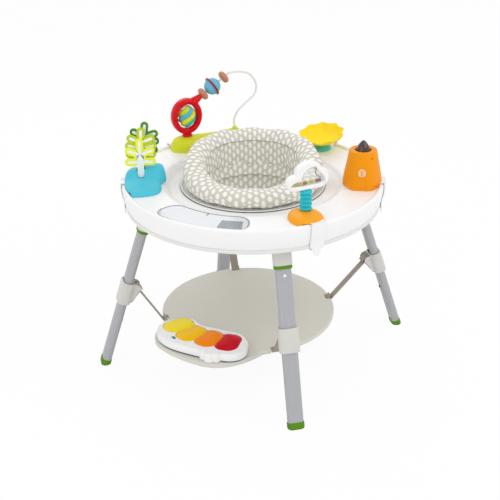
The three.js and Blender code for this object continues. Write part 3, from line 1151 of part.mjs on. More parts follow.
const buttonSolid = moved(rodAlongX(BUTTON_DIAMETER / 2, BUTTON_SINK + BUTTON_RISE, 2 * ROUND_STEPS),
  buttonFrame(towerFace + (BUTTON_RISE - BUTTON_SINK) / 2));
add('tower_button', moved(buttonSolid, towerFrame), 'peach', 0.35);

// Cloud toy: a dome base, a ribbed bellows and a cloud-shaped frame round a clear pane
const cloudFrame = toyFrame(CLOUD_INSET, CLOUD_ANGLE);
const cloudDome = skin([...CLOUD_BASE_SHARES.map(([spread, up]) => ellipse(
  CLOUD_BASE_DEPTH * spread, CLOUD_BASE_WIDTH * spread, 2 * ROUND_STEPS)
  .map(([x, y]) => new THREE.Vector3(x, y, CLOUD_BASE_HEIGHT * up)))]);
const domeTop = CLOUD_BASE_HEIGHT * CLOUD_BASE_SHARES[CLOUD_BASE_SHARES.length - 1][1];
add('cloud_base', trimmed(moved(cloudDome, cloudFrame)).add(clipArm(CLOUD_ANGLE)), 'amber', 0.35);
add('clip_cloud', clipFlap(CLOUD_ANGLE), 'white', 0.4);

const bellowsBottom = domeTop + TOUCH_GAP;
const bellowsProfile = [[0, bellowsBottom], [BELLOWS_WAIST / 2, bellowsBottom]];
for (let i = 0; i < BELLOWS_RIBS; i++) {
  const pitch = BELLOWS_LENGTH / BELLOWS_RIBS;
  bellowsProfile.push([BELLOWS_DIAMETER / 2, bellowsBottom + pitch * (i + 0.35)]);
  bellowsProfile.push([BELLOWS_DIAMETER / 2, bellowsBottom + pitch * (i + 0.65)]);
  bellowsProfile.push([BELLOWS_WAIST / 2, bellowsBottom + pitch * (i + 1)]);
}
bellowsProfile.push([0, bellowsBottom + BELLOWS_LENGTH]);
add('cloud_bellows', moved(turned(bellowsProfile, BEAD_STEPS), cloudFrame), 'aqua', 0.5);

// The cloud's outline lies in the plane that faces outward, so X of the outline runs round the table
const cloudBottom = bellowsBottom + BELLOWS_LENGTH + TOUCH_GAP;
const cloudOutline = smoothOutline(scaledShares(CLOUD_LOBE_SHARES, CLOUD_WIDTH, CLOUD_HEIGHT), OUTLINE_STEPS);
const cloudWindow = smoothOutline(
  scaledShares(CLOUD_WINDOW_SHARES, CLOUD_WIDTH, CLOUD_HEIGHT), OUTLINE_STEPS / 2);
const shrunk = (outline, gap) => {
  const [cx, cy] = [0, 1].map((k) => outline.reduce((sum, p) => sum + p[k], 0) / outline.length);
  return outline.map(([x, y]) => {
    const length = Math.hypot(x - cx, y - cy);
    return [cx + (x - cx) * (1 - gap / length), cy + (y - cy) * (1 - gap / length)];
  });
};
const faceOut = new THREE.Matrix4().makeTranslation(0, 0, cloudBottom)
  .multiply(new THREE.Matrix4().makeRotationZ(Math.PI / 2));
const cloudSolid = standing(cloudOutline, CLOUD_THICKNESS, CLOUD_BEVEL)
  .subtract(standing(cloudWindow, CLOUD_THICKNESS + CUT_OVERRUN));
add('cloud_frame', moved(moved(cloudSolid, faceOut), cloudFrame), 'white', 0.35);
const cloudPane = standing(shrunk(cloudWindow, 2 * TOUCH_GAP), CLOUD_PANE_THICKNESS);
add('cloud_pane', moved(moved(cloudPane, faceOut), cloudFrame), 'clear', 0.05,
  { transparent: true, opacity: 0.4 });

// Tree toy: a hill with a sloping front, a trunk with rounded branches and three leaf frames
const treeFrame = toyFrame(TREE_INSET, TREE_ANGLE);
const hillOutline = smoothOutline(scaledShares(HILL_OUTLINE_SHARES, HILL_WIDTH, HILL_LENGTH), OUTLINE_STEPS);
const trunkFront = TRUNK_THICKNESS / 2;
const slopeBackY = trunkFront + SLIDE_GAP;
const hillFrontY = HILL_LENGTH * HILL_OUTLINE_SHARES[1][1];
const slopeCutter = () => {
  const far = hillFrontY + CUT_OVERRUN;
  const outline = [[slopeBackY, HILL_SLOPE_TOP], [hillFrontY, HILL_FRONT_HEIGHT], [far, HILL_FRONT_HEIGHT],
    [far, HILL_HEIGHT + CUT_OVERRUN], [slopeBackY, HILL_HEIGHT + CUT_OVERRUN]];
  return turnedBy(standing(outline, 2 * HILL_WIDTH), 90);
};
const layerPitch = LEAF_THICKNESS + LEAF_LAYER_GAP;
const layerY = (layer) => LEAF_THICKNESS / 2 - trunkFront - layer * layerPitch;
const slotBackY = layerY(2) - LEAF_THICKNESS / 2 - LEAF_LAYER_GAP;
const slotBottom = LEAF_PIVOT_HEIGHT - LEAF_STEM_WIDTH / 2 - SLIDE_GAP;
const fullSwing = radians(LEAF_SWING_ANGLE + LEAF_BACK_LEAN_ANGLE);
const slotHalf = LEAF_STEM_WIDTH / 2 / Math.cos(fullSwing)
  + (HILL_HEIGHT - LEAF_PIVOT_HEIGHT) * Math.tan(fullSwing) + SLIDE_GAP;
const slot = shifted(block(2 * slotHalf, slopeBackY - slotBackY, HILL_HEIGHT + CUT_OVERRUN - slotBottom), 0,
  (slopeBackY + slotBackY) / 2, (HILL_HEIGHT + CUT_OVERRUN + slotBottom) / 2);
const pinLength = trunkFront - slotBackY + LEAF_STEM_WIDTH;
const treePin = shifted(rodAlongY(TREE_PIN_DIAMETER / 2, pinLength), 0,
  trunkFront - TRUNK_THICKNESS / 2 - pinLength / 2, LEAF_PIVOT_HEIGHT);
const pinBore = shifted(rodAlongY(TREE_PIN_DIAMETER / 2 + TOUCH_GAP, 2 * HILL_LENGTH), 0, 0,
  LEAF_PIVOT_HEIGHT);
const hill = slab(hillOutline, 0, HILL_HEIGHT, HILL_BEVEL).subtract(slopeCutter()).subtract(slot)
  .add(treePin);
add('tree_base', trimmed(moved(hill, treeFrame)).add(clipArm(TREE_ANGLE)), 'water', 0.4);
add('clip_tree', clipFlap(TREE_ANGLE), 'white', 0.4);

// A leaf outline: fingers leave a spine of their own width. Each is given by how high its root lies, how
// far out its tip lies and how high. The sides of neighbours meet where their lines cross, or else they
// end on the spine's side.
const sideLine = (finger, half) => {
  const along = finger.tip.clone().sub(finger.root).normalize();
  return { point: finger.root.clone().add(new THREE.Vector2(-along.y, along.x).multiplyScalar(half)), along };
};
const crossing = (one, other, half) => {
  const [a, b] = [sideLine(one, half), sideLine(other, -half)];
  const between = b.point.clone().sub(a.point);
  return a.point.addScaledVector(a.along, between.cross(b.along) / a.along.cross(b.along));
};
const onSpine = (finger, offset, sideX) => {
  const { point, along } = sideLine(finger, offset);
  return point.addScaledVector(along, (sideX - point.x) / along.x);
};
const meeting = (one, other, half) => {
  const cross = crossing(one, other, half);
  const sideX = half * Math.sign(one.tip.x);
  const apart = one.tip.x * other.tip.x > 0 && cross.x * Math.sign(sideX) < half;
  return apart ? [onSpine(one, half, sideX), onSpine(other, -half, sideX)] : [cross];
};
const leafOutline = (shares, height, bottom, inset) => {
  const half = LEAF_FINGER_WIDTH / 2 - inset;
  const at = (out, up) => new THREE.Vector2(LEAF_WIDTH * out, bottom + height * up);
  const side = (sign) => shares.map(([root, out, up]) => ({ root: at(0, root), tip: at(sign * out, up) }));
  const top = { root: at(0, shares[shares.length - 1][0]), tip: at(0, LEAF_TOP_SHARE) };
  const fingers = [...side(1), top, ...side(-1).reverse()];
  return fingers.flatMap((finger, k) => {
    const facing = finger.tip.clone().sub(finger.root).angle();
    const round = Array.from({ length: LEAF_TIP_STEPS + 1 }, (_, i) => {
      const turn = facing + Math.PI * (i / LEAF_TIP_STEPS - 0.5);
      return finger.tip.clone().add(new THREE.Vector2(Math.cos(turn), Math.sin(turn)).multiplyScalar(half));
    });
    return [...round, ...meeting(finger, fingers[(k + 1) % fingers.length], half)].map((p) => [p.x, p.y]);
  });
};

const frontLeaf = (inset) => leafOutline(
  LEAF_FRONT_FINGER_SHARES, LEAF_FRONT_HEIGHT, LEAF_BOTTOMS.front, inset);
const trunkBottom = slotBottom + TOUCH_GAP;
const trunkTop = LEAF_BOTTOMS.front + LEAF_FRONT_HEIGHT * LEAF_FRONT_FINGER_SHARES[0][0];
const trunkBlock = (spare) => shifted(
  block(TRUNK_WIDTH + 2 * spare, TRUNK_THICKNESS, trunkTop - trunkBottom),
  0, 0, (trunkTop + trunkBottom) / 2);
const frontBand = standing(frontLeaf(0), LEAF_THICKNESS, 0, [frontLeaf(LEAF_BAND)])
  .subtract(trunkBlock(STAR_GAP));
add('leaf_front', moved(frontBand, treeFrame), 'leaf', 0.4);

const star = standing(frontLeaf(LEAF_BAND + STAR_GAP), TRUNK_THICKNESS);
add('tree_trunk', moved(trunkBlock(0).add(star).subtract(pinBore), treeFrame), 'white', 0.45);

const leafOnStem = (layer, bottom, lean) => {
  const stemTop = bottom + LEAF_FINGER_WIDTH / 2;
  const stem = shifted(block(LEAF_STEM_WIDTH, LEAF_THICKNESS, stemTop - LEAF_PIVOT_HEIGHT), 0, 0,
    (stemTop + LEAF_PIVOT_HEIGHT) / 2);
  const knuckle = shifted(rodAlongY(LEAF_STEM_WIDTH / 2, LEAF_THICKNESS, 2 * ROUND_STEPS),
    0, 0, LEAF_PIVOT_HEIGHT);
  const plate = standing(leafOutline(LEAF_REAR_FINGER_SHARES, LEAF_REAR_HEIGHT, bottom, 0), LEAF_THICKNESS);
  const flat = plate.add(stem).add(knuckle).subtract(pinBore);
  const lower = shifted(flat, 0, 0, -LEAF_PIVOT_HEIGHT);
  const leaned = moved(lower, new THREE.Matrix4().makeRotationY(-radians(lean)));
  return shifted(leaned, 0, layerY(layer), LEAF_PIVOT_HEIGHT);
};
const middleLeaf = leafOnStem(1, LEAF_BOTTOMS.middle, LEAF_MIDDLE_LEAN_ANGLE);
const backLeaf = leafOnStem(2, LEAF_BOTTOMS.back, LEAF_BACK_LEAN_ANGLE);
add('leaf_middle', moved(middleLeaf, treeFrame), 'olive', 0.4);
add('leaf_back', moved(backLeaf, treeFrame), 'forest', 0.4);

export default model;
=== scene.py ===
"""Looks of the baby activity centre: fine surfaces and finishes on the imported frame.
Shapes are worked out in millimetres, in the frame's own place, and put into meshes in metres. Angles round the
table are in degrees from X, and shares run from 0 to 1."""

import math

import bpy
import numpy as np
from mathutils import Matrix, Vector


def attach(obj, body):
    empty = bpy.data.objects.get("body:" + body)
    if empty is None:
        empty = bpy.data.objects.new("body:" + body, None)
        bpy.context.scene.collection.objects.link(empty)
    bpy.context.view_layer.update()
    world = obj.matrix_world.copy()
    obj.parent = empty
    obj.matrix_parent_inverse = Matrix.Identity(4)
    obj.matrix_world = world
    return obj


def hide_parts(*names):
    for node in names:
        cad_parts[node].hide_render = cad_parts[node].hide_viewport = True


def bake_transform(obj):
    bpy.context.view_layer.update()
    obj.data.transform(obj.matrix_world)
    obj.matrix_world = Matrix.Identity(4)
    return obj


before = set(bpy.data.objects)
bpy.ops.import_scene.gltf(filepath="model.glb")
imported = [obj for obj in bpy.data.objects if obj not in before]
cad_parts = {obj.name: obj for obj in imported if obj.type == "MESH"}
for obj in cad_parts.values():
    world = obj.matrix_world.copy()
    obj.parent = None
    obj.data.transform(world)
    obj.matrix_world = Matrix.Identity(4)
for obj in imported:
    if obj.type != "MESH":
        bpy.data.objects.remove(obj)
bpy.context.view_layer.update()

MM = 0.001

# Table sizes
TABLE_HEIGHT = 560
TABLE_RADIUS = 380
SKIRT_HEIGHT = 72
SKIRT_DRAFT = 14
SHELL_WALL = 4
RIM_ROUND = 7
DECK_DROP = 8
DISH_RADIUS = 264
DISH_SLOPE = 16
DISH_DROP = 16
HOLE_RADIUS = 196
RACE_WIDTH = 16
RACE_DEPTH = 7
RACE_LIP_HEIGHT = 0.3
RACE_LIP_WIDTH = 9
HOLE_LIP_DEPTH = 20
SEAM_HEIGHT = 12
SEAM_STEP = 1.6
GAP = 0.3
deck_top = TABLE_HEIGHT - DECK_DROP
dish_top = deck_top - DISH_DROP
race_top = dish_top - RACE_DEPTH
race_radius = HOLE_RADIUS + RACE_WIDTH
rim_z = TABLE_HEIGHT - RIM_ROUND
rim_radius = TABLE_RADIUS - RIM_ROUND
deck_edge = rim_radius - RIM_ROUND
bottom_z = TABLE_HEIGHT - SKIRT_HEIGHT
seam_z = bottom_z + SEAM_HEIGHT
toy_floor = deck_top + GAP

# Leg and platform sizes
LEG_ANGLES = {"left": 180, "front": -90, "right": 0, "back": 90}
LEG_RADIUS = 470
LEG_SPLAY = math.radians(18.1)
TUBE_WIDTH = 45
TUBE_DEPTH = 26
TUBE_CORNER = 12
TUBE_TOP = 520
RING_BOTTOM = 444
RING_HEIGHT = 9
COLLAR_MID = 247
COLLAR_HEIGHT = 69
COLLAR_WALL = 6.1
COLLAR_PLAY = 0.7
PLATFORM_TOP = 127
PLATFORM_THICKNESS = 13
PLATFORM_RADIUS = 264
PLATFORM_SHIFT = -20


# Shapes: a shape is its vertices, its quads, its triangles and its cloth places
def outward(vertices, quads, triangles, places=None):
    """Turns every face over when the signed volume, the sum of a . (b x c) over the faces, is negative."""
    halves = np.vstack([quads[:, [0, 1, 2]], quads[:, [0, 2, 3]], triangles])
    a, b, c = (vertices[halves[:, k]] for k in range(3))
    if np.einsum("ij,ij->i", a, np.cross(b, c)).sum() < 0:
        quads, triangles = quads[:, ::-1], triangles[:, ::-1]
        places = None if places is None else places[:, ::-1]
    return vertices, quads, triangles, places


def skin(points, wrap_rows=False, places=None):
    """A skin over rows of points. Columns wrap round, and rows wrap too or each end closes on its middle.
    places gives each grid point, with the wrapped column and row added, its place on the flat cloth."""
    rows, columns = points.shape[:2]
    i = np.arange(rows if wrap_rows else rows - 1)[:, None]
    j = np.arange(columns)[None, :]
    corners = [(i, j), (i, j + 1), (i + 1, j + 1), (i + 1, j)]
    quads = np.stack([(a % rows) * columns + b % columns for a, b in corners], -1).reshape(-1, 4)
    vertices = points.reshape(-1, 3)
    triangles = np.zeros((0, 3), int)
    if places is not None:
        places = np.stack([places[a, b] for a, b in corners], 2).reshape(-1, 4, 2)
    if not wrap_rows:
        ring = np.arange(columns)
        after = (ring + 1) % columns
        last = (rows - 1) * columns
        first = np.full(columns, len(vertices))
        triangles = np.vstack([np.stack([first, after, ring], -1),
                               np.stack([first + 1, last + ring, last + after], -1)])
        vertices = np.vstack([vertices, points[0].mean(0), points[-1].mean(0)])
    return outward(vertices, quads, triangles, places)


def moved(shape, matrix):
    """The shape with every vertex multiplied by a 4 x 4 matrix."""
    m = np.array(matrix)
    return (shape[0] @ m[:3, :3].T + m[:3, 3],) + tuple(shape[1:])


def shifted(shape, x=0, y=0, z=0):
    """The shape moved by a distance along each axis."""
    return moved(shape, offset(x, y, z))


def smooth(share):
    """A smooth step from zero to one: 3 s^2 - 2 s^3."""
    return share * share * (3 - 2 * share)


def polar(radius, degrees, z=0.0):
    """A point at a radius and an angle round the table's axis."""
    angle = np.radians(degrees)
    return np.stack(np.broadcast_arrays(radius * np.cos(angle), radius * np.sin(angle), z), -1).astype(float)


def eased(corners, cut, steps=5, closed=True):
    """A polyline whose corners are cut back by up to cut and joined by a parabola, (1-t)^2 a + 2t(1-t) c + t^2 b."""
    corners = np.array(corners, float)
    cuts = np.broadcast_to(np.array(cut, float), len(corners))
    line = []
    for k, corner in enumerate(corners):
        before, after = corners[k - 1], corners[(k + 1) % len(corners)]
        if not closed and k in (0, len(corners) - 1):
            line.append(corner[None])
            continue
        back, on = before - corner, after - corner
        reach = min(cuts[k], np.linalg.norm(back) * 0.48, np.linalg.norm(on) * 0.48)
        a = corner + back / np.linalg.norm(back) * reach
        b = corner + on / np.linalg.norm(on) * reach
        t = np.linspace(0, 1, steps)[:, None]
        line.append((1 - t) ** 2 * a + 2 * t * (1 - t) * corner + t ** 2 * b)
    return np.vstack(line)


def curve_through(points, steps, closed=True):
    """A Catmull-Rom curve: between two given points it is a cubic whose slopes are half the spans beside them."""
    p = np.array(points, float)
    if closed:
        p = np.vstack([p[-1], p, p[:2]])
    else:
        p = np.vstack([2 * p[0] - p[1], p, 2 * p[-1] - p[-2]])
    spans = len(p) - 3
    t = np.linspace(0, spans, steps, endpoint=not closed)
    k = np.minimum(t.astype(int), spans - 1)
    f = (t - k)[:, None]
    a, b, c, d = p[k], p[k + 1], p[k + 2], p[k + 3]
    return 0.5 * (2 * b + (c - a) * f + (2 * a - 5 * b + 4 * c - d) * f ** 2 + (3 * b - a - 3 * c + d) * f ** 3)


def ellipse(width, height, steps):
    """Points round an ellipse of that width and height."""
    turn = 2 * np.pi * np.arange(steps) / steps
    return np.stack([width / 2 * np.cos(turn), height / 2 * np.sin(turn)], -1)


def rounded_box(width, height, corner, steps, side_steps=1):
    """A rectangle with quarter circles at its corners, anticlockwise from the right side's top."""
    turn = np.radians(np.linspace(0, 90, steps + 1))
    arcs = []
    for quarter, (sx, sy) in enumerate([(1, 1), (-1, 1), (-1, -1), (1, -1)]):
        angle = turn + quarter * np.pi / 2
        middle = np.array([sx * (width / 2 - corner), sy * (height / 2 - corner)])
        arcs.append(middle + corner * np.stack([np.cos(angle), np.sin(angle)], -1))
    if side_steps > 1:
        share = np.linspace(0, 1, side_steps + 1)[1:-1, None]
        arcs = [np.vstack([arc, arc[-1] + (arcs[(k + 1) % 4][0] - arc[-1]) * share]) for k, arc in enumerate(arcs)]
    return np.vstack(arcs)


def inward(outline):
    """The unit normal at each point of an anticlockwise outline, a quarter turn to the left of its tangent."""
    tangent = np.roll(outline, -1, 0) - np.roll(outline, 1, 0)
    normal = np.stack([-tangent[:, 1], tangent[:, 0]], -1)
    return normal / np.linalg.norm(normal, axis=1, keepdims=True)


def side_line(low, high, edge, steps=5, flat=1.5):
    """Insets and heights up a side whose edges are quarter circles, with a short flat step beyond each."""
    a = np.linspace(0, np.pi / 2, steps)
    insets = np.concatenate([[edge + flat], edge * (1 - np.sin(a)), edge * (1 - np.cos(a)), [edge + flat]])
    heights = np.concatenate([[low], low + edge * (1 - np.cos(a)), high - edge * (1 - np.sin(a)), [high]])
    return insets, heights


def lifted(rows, heights):
    """Flat rows of points, each lifted to its height."""
    return np.concatenate([rows, np.broadcast_to(heights[:, None, None], rows.shape[:2] + (1,))], -1)


def raised(outline, insets, heights):
    """Rows of an outline, each moved inward by its inset and lifted to its height."""
    return lifted(outline[None] + inward(outline)[None] * insets[:, None, None], heights)


def slab(outline, low, high, edge, steps=5):
    """A plate of an outline between two heights, its edges rounded to a radius."""
    return skin(raised(outline, *side_line(low, high, edge, steps)))


def band(outer, inner, low, high, edge, steps=4):
    """A plate between an outer and an inner outline of as many points, its four edges rounded."""
    insets, heights = side_line(low, high, edge, steps, 0)
    rows = [raised(outer, insets, heights), raised(inner, -insets[::-1], heights[::-1])]
    return skin(np.concatenate(rows), wrap_rows=True)


def revolved(profile, steps):
    """A profile of radii and heights turned about a vertical axis. It closes on itself or ends near the axis."""
    profile = np.array(profile, float)
    ends_on_axis = profile[0, 0] < 0.1 and profile[-1, 0] < 0.1
    turn = 2 * np.pi * np.arange(steps) / steps
    radius, height = profile[:, :1], profile[:, 1:]
    points = np.stack(np.broadcast_arrays(radius * np.cos(turn), radius * np.sin(turn), height), -1)
    return skin(points, wrap_rows=not ends_on_axis)


def headings(path):
    """The unit tangent at each point of a path."""
    tangent = np.gradient(path, axis=0)
    return tangent / np.linalg.norm(tangent, axis=1, keepdims=True)


def ribbon(path, section, normal=(0, 1, 0), width=1.0, places=None):
    """A section carried along a flat path: its x lies across the path in its plane, and its y, times the width
    there, along the normal."""
    normal = np.array(normal, float)
    across = np.cross(normal, headings(path))
    width = np.broadcast_to(width, len(path))[:, None, None]
    points = path[:, None] + section[None, :, :1] * across[:, None] + section[None, :, 1:] * width * normal
    return skin(points, places=places)


def capsule(length, radius):
    """A rod along Z from zero to a length, with small rounded ends."""
    ease = min(radius, length / 2) * 0.35
    profile = eased([(0.05, 0), (radius, 0), (radius, length), (0.05, length)], ease, closed=False)
    return revolved(profile, 24)


def ball(radius, steps):
    """A sphere from rings of latitude."""
    rise = np.linspace(-np.pi / 2 + 0.02, np.pi / 2 - 0.02, steps // 2)[:, None]
    turn = np.degrees(2 * np.pi * np.arange(steps) / steps)[None, :]
    return skin(polar(radius * np.cos(rise), turn, radius * np.sin(rise)))


def turn_z(degrees):
    """A turn about Z."""
    return Matrix.Rotation(math.radians(degrees), 4, "Z")


def offset(x=0, y=0, z=0):
    """A move along the axes."""
    return Matrix.Translation((x, y, z))


# UPRIGHT stands a flat outline up, so that its y becomes the height. The others lay a shape's Z along an axis.
UPRIGHT = Matrix.Rotation(math.radians(90), 4, "X")
ALONG_X = Matrix.Rotation(math.radians(90), 4, "Y")
AGAINST_X = Matrix.Rotation(math.radians(-90), 4, "Y")
ALONG_Y = Matrix.Rotation(math.radians(-90), 4, "X")


# Colour and nodes
def linear(code):
    """An sRGB hex colour as linear red, green, blue and one: c/12.92 below 0.04045, else ((c+0.055)/1.055)^2.4."""
    c = np.array([int(code[k:k + 2], 16) / 255 for k in (1, 3, 5)])
    c = np.where(c <= 0.04045, c / 12.92, ((c + 0.055) / 1.055) ** 2.4)
    return (*c.tolist(), 1.0)


def darker(code, share):
    """A hex colour made darker by a share, in linear light."""
    return tuple(v * (1 - share) for v in linear(code)[:3]) + (1.0,)


def set_inputs(tree, node, inputs):
    """Links each input of a node to a socket or fills it with a value, by name or number."""
    for key, value in inputs.items():
        if isinstance(value, bpy.types.NodeSocket):
            tree.links.new(value, node.inputs[key])
        else:
            node.inputs[key].default_value = value


def add_node(tree, kind, inputs=None, **settings):
    """Adds one shader node, sets its properties, and fills or links its inputs."""
    node = tree.nodes.new("ShaderNode" + kind)
    for key, value in settings.items():
        setattr(node, key, value)
    set_inputs(tree, node, inputs or {})
    return node


def worked_out(tree, values, steps):
    """Works down a list of steps, each a name, an operation and its inputs. An input is a number, or the name of
    a value that is given or was worked out before."""
    for name, operation, *inputs in steps:
        sockets = {k: values[v] if isinstance(v, str) else v for k, v in enumerate(inputs)}
        values[name] = add_node(tree, "Math", sockets, operation=operation).outputs[0]
    return values


def new_material(name):
    """An empty material with its node tree and a shader wired to the output."""
    material = bpy.data.materials.new(name)
    material.use_nodes = True
    tree = material.node_tree
    tree.nodes.clear()
    shader = add_node(tree, "BsdfPrincipled")
    add_node(tree, "OutputMaterial", {"Surface": shader.outputs["BSDF"]})
    return material, tree, shader


def dressed(parts, mix, colours, height, strength, depth, sockets):
    """Two colours mixed by a factor, a bump whose depth is in millimetres, and the shader's other sockets."""
    material, tree, shader = parts
    tone = add_node(tree, "Mix", {"Factor": mix, 6: colours[0], 7: colours[1]}, data_type="RGBA")
    bump = add_node(tree, "Bump", {"Height": height, "Strength": strength, "Distance": depth * MM})
    set_inputs(tree, shader, {"Base Color": tone.outputs[2], "Normal": bump.outputs[0], **sockets})
    return material


def per_metre(millimetres):
    """The pattern scale at which one cell is that many millimetres."""
    return 1000.0 / millimetres


HAND_WIDTH = 70


def moulded(name, colour, roughness, grain, relief, drift, coat=0.0, shine=0.5):
    """Injection-moulded plastic. The tool's fine grain, in mm, breaks up the gloss, its relief raises the
    surface, and the colour drifts darker by a share over the width of a hand. A coat adds a clear gloss, and the
    shine is the strength of the highlight."""
    parts = new_material(name)
    tree = parts[1]
    place = add_node(tree, "TexCoord").outputs["Object"]
    hand = add_node(tree, "TexNoise", {"Vector": place, "Scale": per_metre(HAND_WIDTH), "Detail": 3.0})
    fine = add_node(tree, "TexNoise", {"Vector": place, "Scale": per_metre(grain), "Detail": 2.0}).outputs["Fac"]
    gloss = add_node(tree, "MapRange", {"Value": fine, "To Min": roughness - 0.05, "To Max": roughness + 0.07})
    return dressed(parts, hand.outputs["Fac"], (linear(colour), darker(colour, drift)), fine, 0.35, relief, {
        "Roughness": gloss.outputs[0], "IOR": 1.5, "Specular IOR Level": shine, "Coat Weight": coat})


def clear_plastic(name, tint, alpha):
    """Clear polycarbonate sheet: mostly see-through, with a gloss and faint ripples from the mould."""
    parts = new_material(name)
    place = add_node(parts[1], "TexCoord").outputs["Object"]
    ripple = add_node(parts[1], "TexNoise", {"Vector": place, "Scale": per_metre(40), "Detail": 2.0}).outputs["Fac"]
    return dressed(parts, ripple, (linear(tint), darker(tint, 0.1)), ripple, 0.2, 0.4, {
        "Roughness": 0.08, "Alpha": alpha, "IOR": 1.58})


# The cloth's print and threads. A wave node repeats once in 0.314 of its scale, so that its scale is that
# share of one thread.
DROP_ACROSS = 16.2
DROP_ALONG = 24.0
THREAD_PITCH = 1.4
RIB_PITCH = 2.0
THREAD_SCALE = 0.314


def printed_cloth(name, ground, drop):
    """Woven cotton printed with ivory drops in half-drop rows on a grey ground. A drop's half width is a sine of
    the height to a power. The threads are drawn coarser than real ones, so that the weave shows, and a faint
    fuzz gives the sheen. The colour darkens with the threads' pattern, painted shade for the hollows between them,
    and with a random mottle."""
    parts = new_material(name)
    tree = parts[1]
    flat = add_node(tree, "UVMap", uv_map="cloth").outputs["UV"]
    place = add_node(tree, "SeparateXYZ", {0: flat})
    wobble = add_node(tree, "TexNoise", {"Vector": flat, "Scale": 1 / 26, "Detail": 2.0})
    cell = worked_out(tree, {"X": place.outputs["X"], "Y": place.outputs["Y"], "wobble": wobble.outputs["Fac"]}, [
        ("sway", "MULTIPLY_ADD", "wobble", 4.0, -2.0), ("swayed", "ADD", "X", "sway"),
        ("across", "DIVIDE", "swayed", DROP_ACROSS), ("column", "FLOOR", "across"),
        ("odd", "FLOORED_MODULO", "column", 2.0), ("shift", "MULTIPLY", "odd", 0.5),
        ("row", "DIVIDE", "Y", DROP_ALONG), ("along", "ADD", "row", "shift"), ("up", "FRACT", "along"),
        ("share", "FRACT", "across"), ("side", "SUBTRACT", "share", 0.5), ("level", "SUBTRACT", "up", 0.5),
        ("leaning", "MULTIPLY_ADD", "level", 0.16, "side"), ("out", "ABSOLUTE", "leaning")])
    cell["height"] = add_node(tree, "MapRange", {"Value": cell["up"], "From Min": 0.11, "From Max": 0.89}).outputs[0]
    worked_out(tree, cell, [
        ("skewed", "POWER", "height", 0.85), ("angle", "MULTIPLY", "skewed", math.pi), ("arch", "SINE", "angle"),
        ("swell", "MAXIMUM", "arch", 0.0), ("full", "POWER", "swell", 0.72), ("half", "MULTIPLY", "full", 0.37),
        ("inside", "SUBTRACT", "half", "out")])
    printed = add_node(tree, "MapRange", {"Value": cell["inside"], "From Min": -0.02, "From Max": 0.09},
                       interpolation_type="SMOOTHSTEP").outputs[0]
    warp, weft = (add_node(tree, "TexWave", {"Vector": flat, "Scale": THREAD_SCALE / THREAD_PITCH, "Distortion": 0.6},
                           bands_direction=axis).outputs["Fac"] for axis in "XY")
    mottle = add_node(tree, "TexNoise", {"Vector": flat, "Scale": 1 / 3.0, "Detail": 3.0}).outputs["Fac"]
    # The thread term darkens the hollows between threads, which is painted shade; the mottle is a random tone
    weave = worked_out(tree, {"warp": warp, "weft": weft, "mottle": mottle}, [
        ("thread", "MULTIPLY", "warp", "weft"), ("hollow", "MULTIPLY", "thread", 0.1),
        ("shade", "MULTIPLY_ADD", "mottle", 0.14, "hollow")])
    cloth = add_node(tree, "Mix", {"Factor": printed, 6: linear(ground), 7: linear(drop)}, data_type="RGBA")
    return dressed(parts, weave["shade"], (cloth.outputs[2], darker(ground, 0.45)), weave["thread"], 0.4, 0.25, {
        "Roughness": 0.88, "Sheen Weight": 0.25, "Specular IOR Level": 0.2})


def webbing_cloth(name, colour):
    """Woven polyester webbing: slanting ribs across the strap, with a mottle, and a dull face with a faint sheen.
    The colour darkens in bands with the ribs, which is painted shade, and with the random mottle.
    """
    parts = new_material(name)
    tree = parts[1]
    flat = add_node(tree, "UVMap", uv_map="cloth").outputs["UV"]
    ribs = add_node(tree, "TexWave", {"Vector": flat, "Scale": THREAD_SCALE / RIB_PITCH, "Distortion": 1.5},
                    bands_direction="DIAGONAL").outputs["Fac"]
    mottle = add_node(tree, "TexNoise", {"Vector": flat, "Scale": 1 / 2.5, "Detail": 3.0}).outputs["Fac"]
    # The ribs' darker bands are painted shade; the blotch is a random tone
    shade = worked_out(tree, {"ribs": ribs, "mottle": mottle}, [
        ("blotch", "MULTIPLY", "mottle", 0.3), ("shade", "MULTIPLY_ADD", "ribs", 0.35, "blotch")])["shade"]
    return dressed(parts, shade, (linear(colour), darker(colour, 0.5)), ribs, 0.6, 0.4, {
        "Roughness": 0.85, "Sheen Weight": 0.15})


def drawn_tube(name, colour):
    """Anodised aluminium tube, drawn through a die: fine streaks run its length and stretch the highlight."""
    parts = new_material(name)
    tree = parts[1]
    flat = add_node(tree, "UVMap", uv_map="cloth").outputs["UV"]
    stretched = add_node(tree, "Mapping", {"Vector": flat, "Scale": (1.0, 0.02, 1.0)}).outputs[0]
    streaks = add_node(tree, "TexNoise", {"Vector": stretched, "Scale": 1 / 1.2, "Detail": 4.0}).outputs["Fac"]
    gloss = add_node(tree, "MapRange", {"Value": streaks, "To Min": 0.34, "To Max": 0.5})
    return dressed(parts, streaks, (linear(colour), darker(colour, 0.2)), streaks, 0.25, 0.03, {
        "Roughness": gloss.outputs[0], "Metallic": 0.3})


def turned_wood(name, colour):
    """Stained beech bead, turned: flecked grain runs across it and the stain lies darker in the grain."""
    parts = new_material(name)
    tree = parts[1]
    place = add_node(tree, "TexCoord").outputs["Object"]
    along = add_node(tree, "Mapping", {"Vector": place, "Rotation": (0.0, math.radians(59), math.radians(14)),
                                       "Scale": (1.0, 1.0, 0.15)}).outputs[0]
    grain = add_node(tree, "TexNoise", {"Vector": along, "Scale": per_metre(1.5), "Detail": 5.0,
                                        "Distortion": 0.4}).outputs["Fac"]
    return dressed(parts, grain, (linear(colour), darker(colour, 0.45)), grain, 0.4, 0.1, {"Roughness": 0.5})


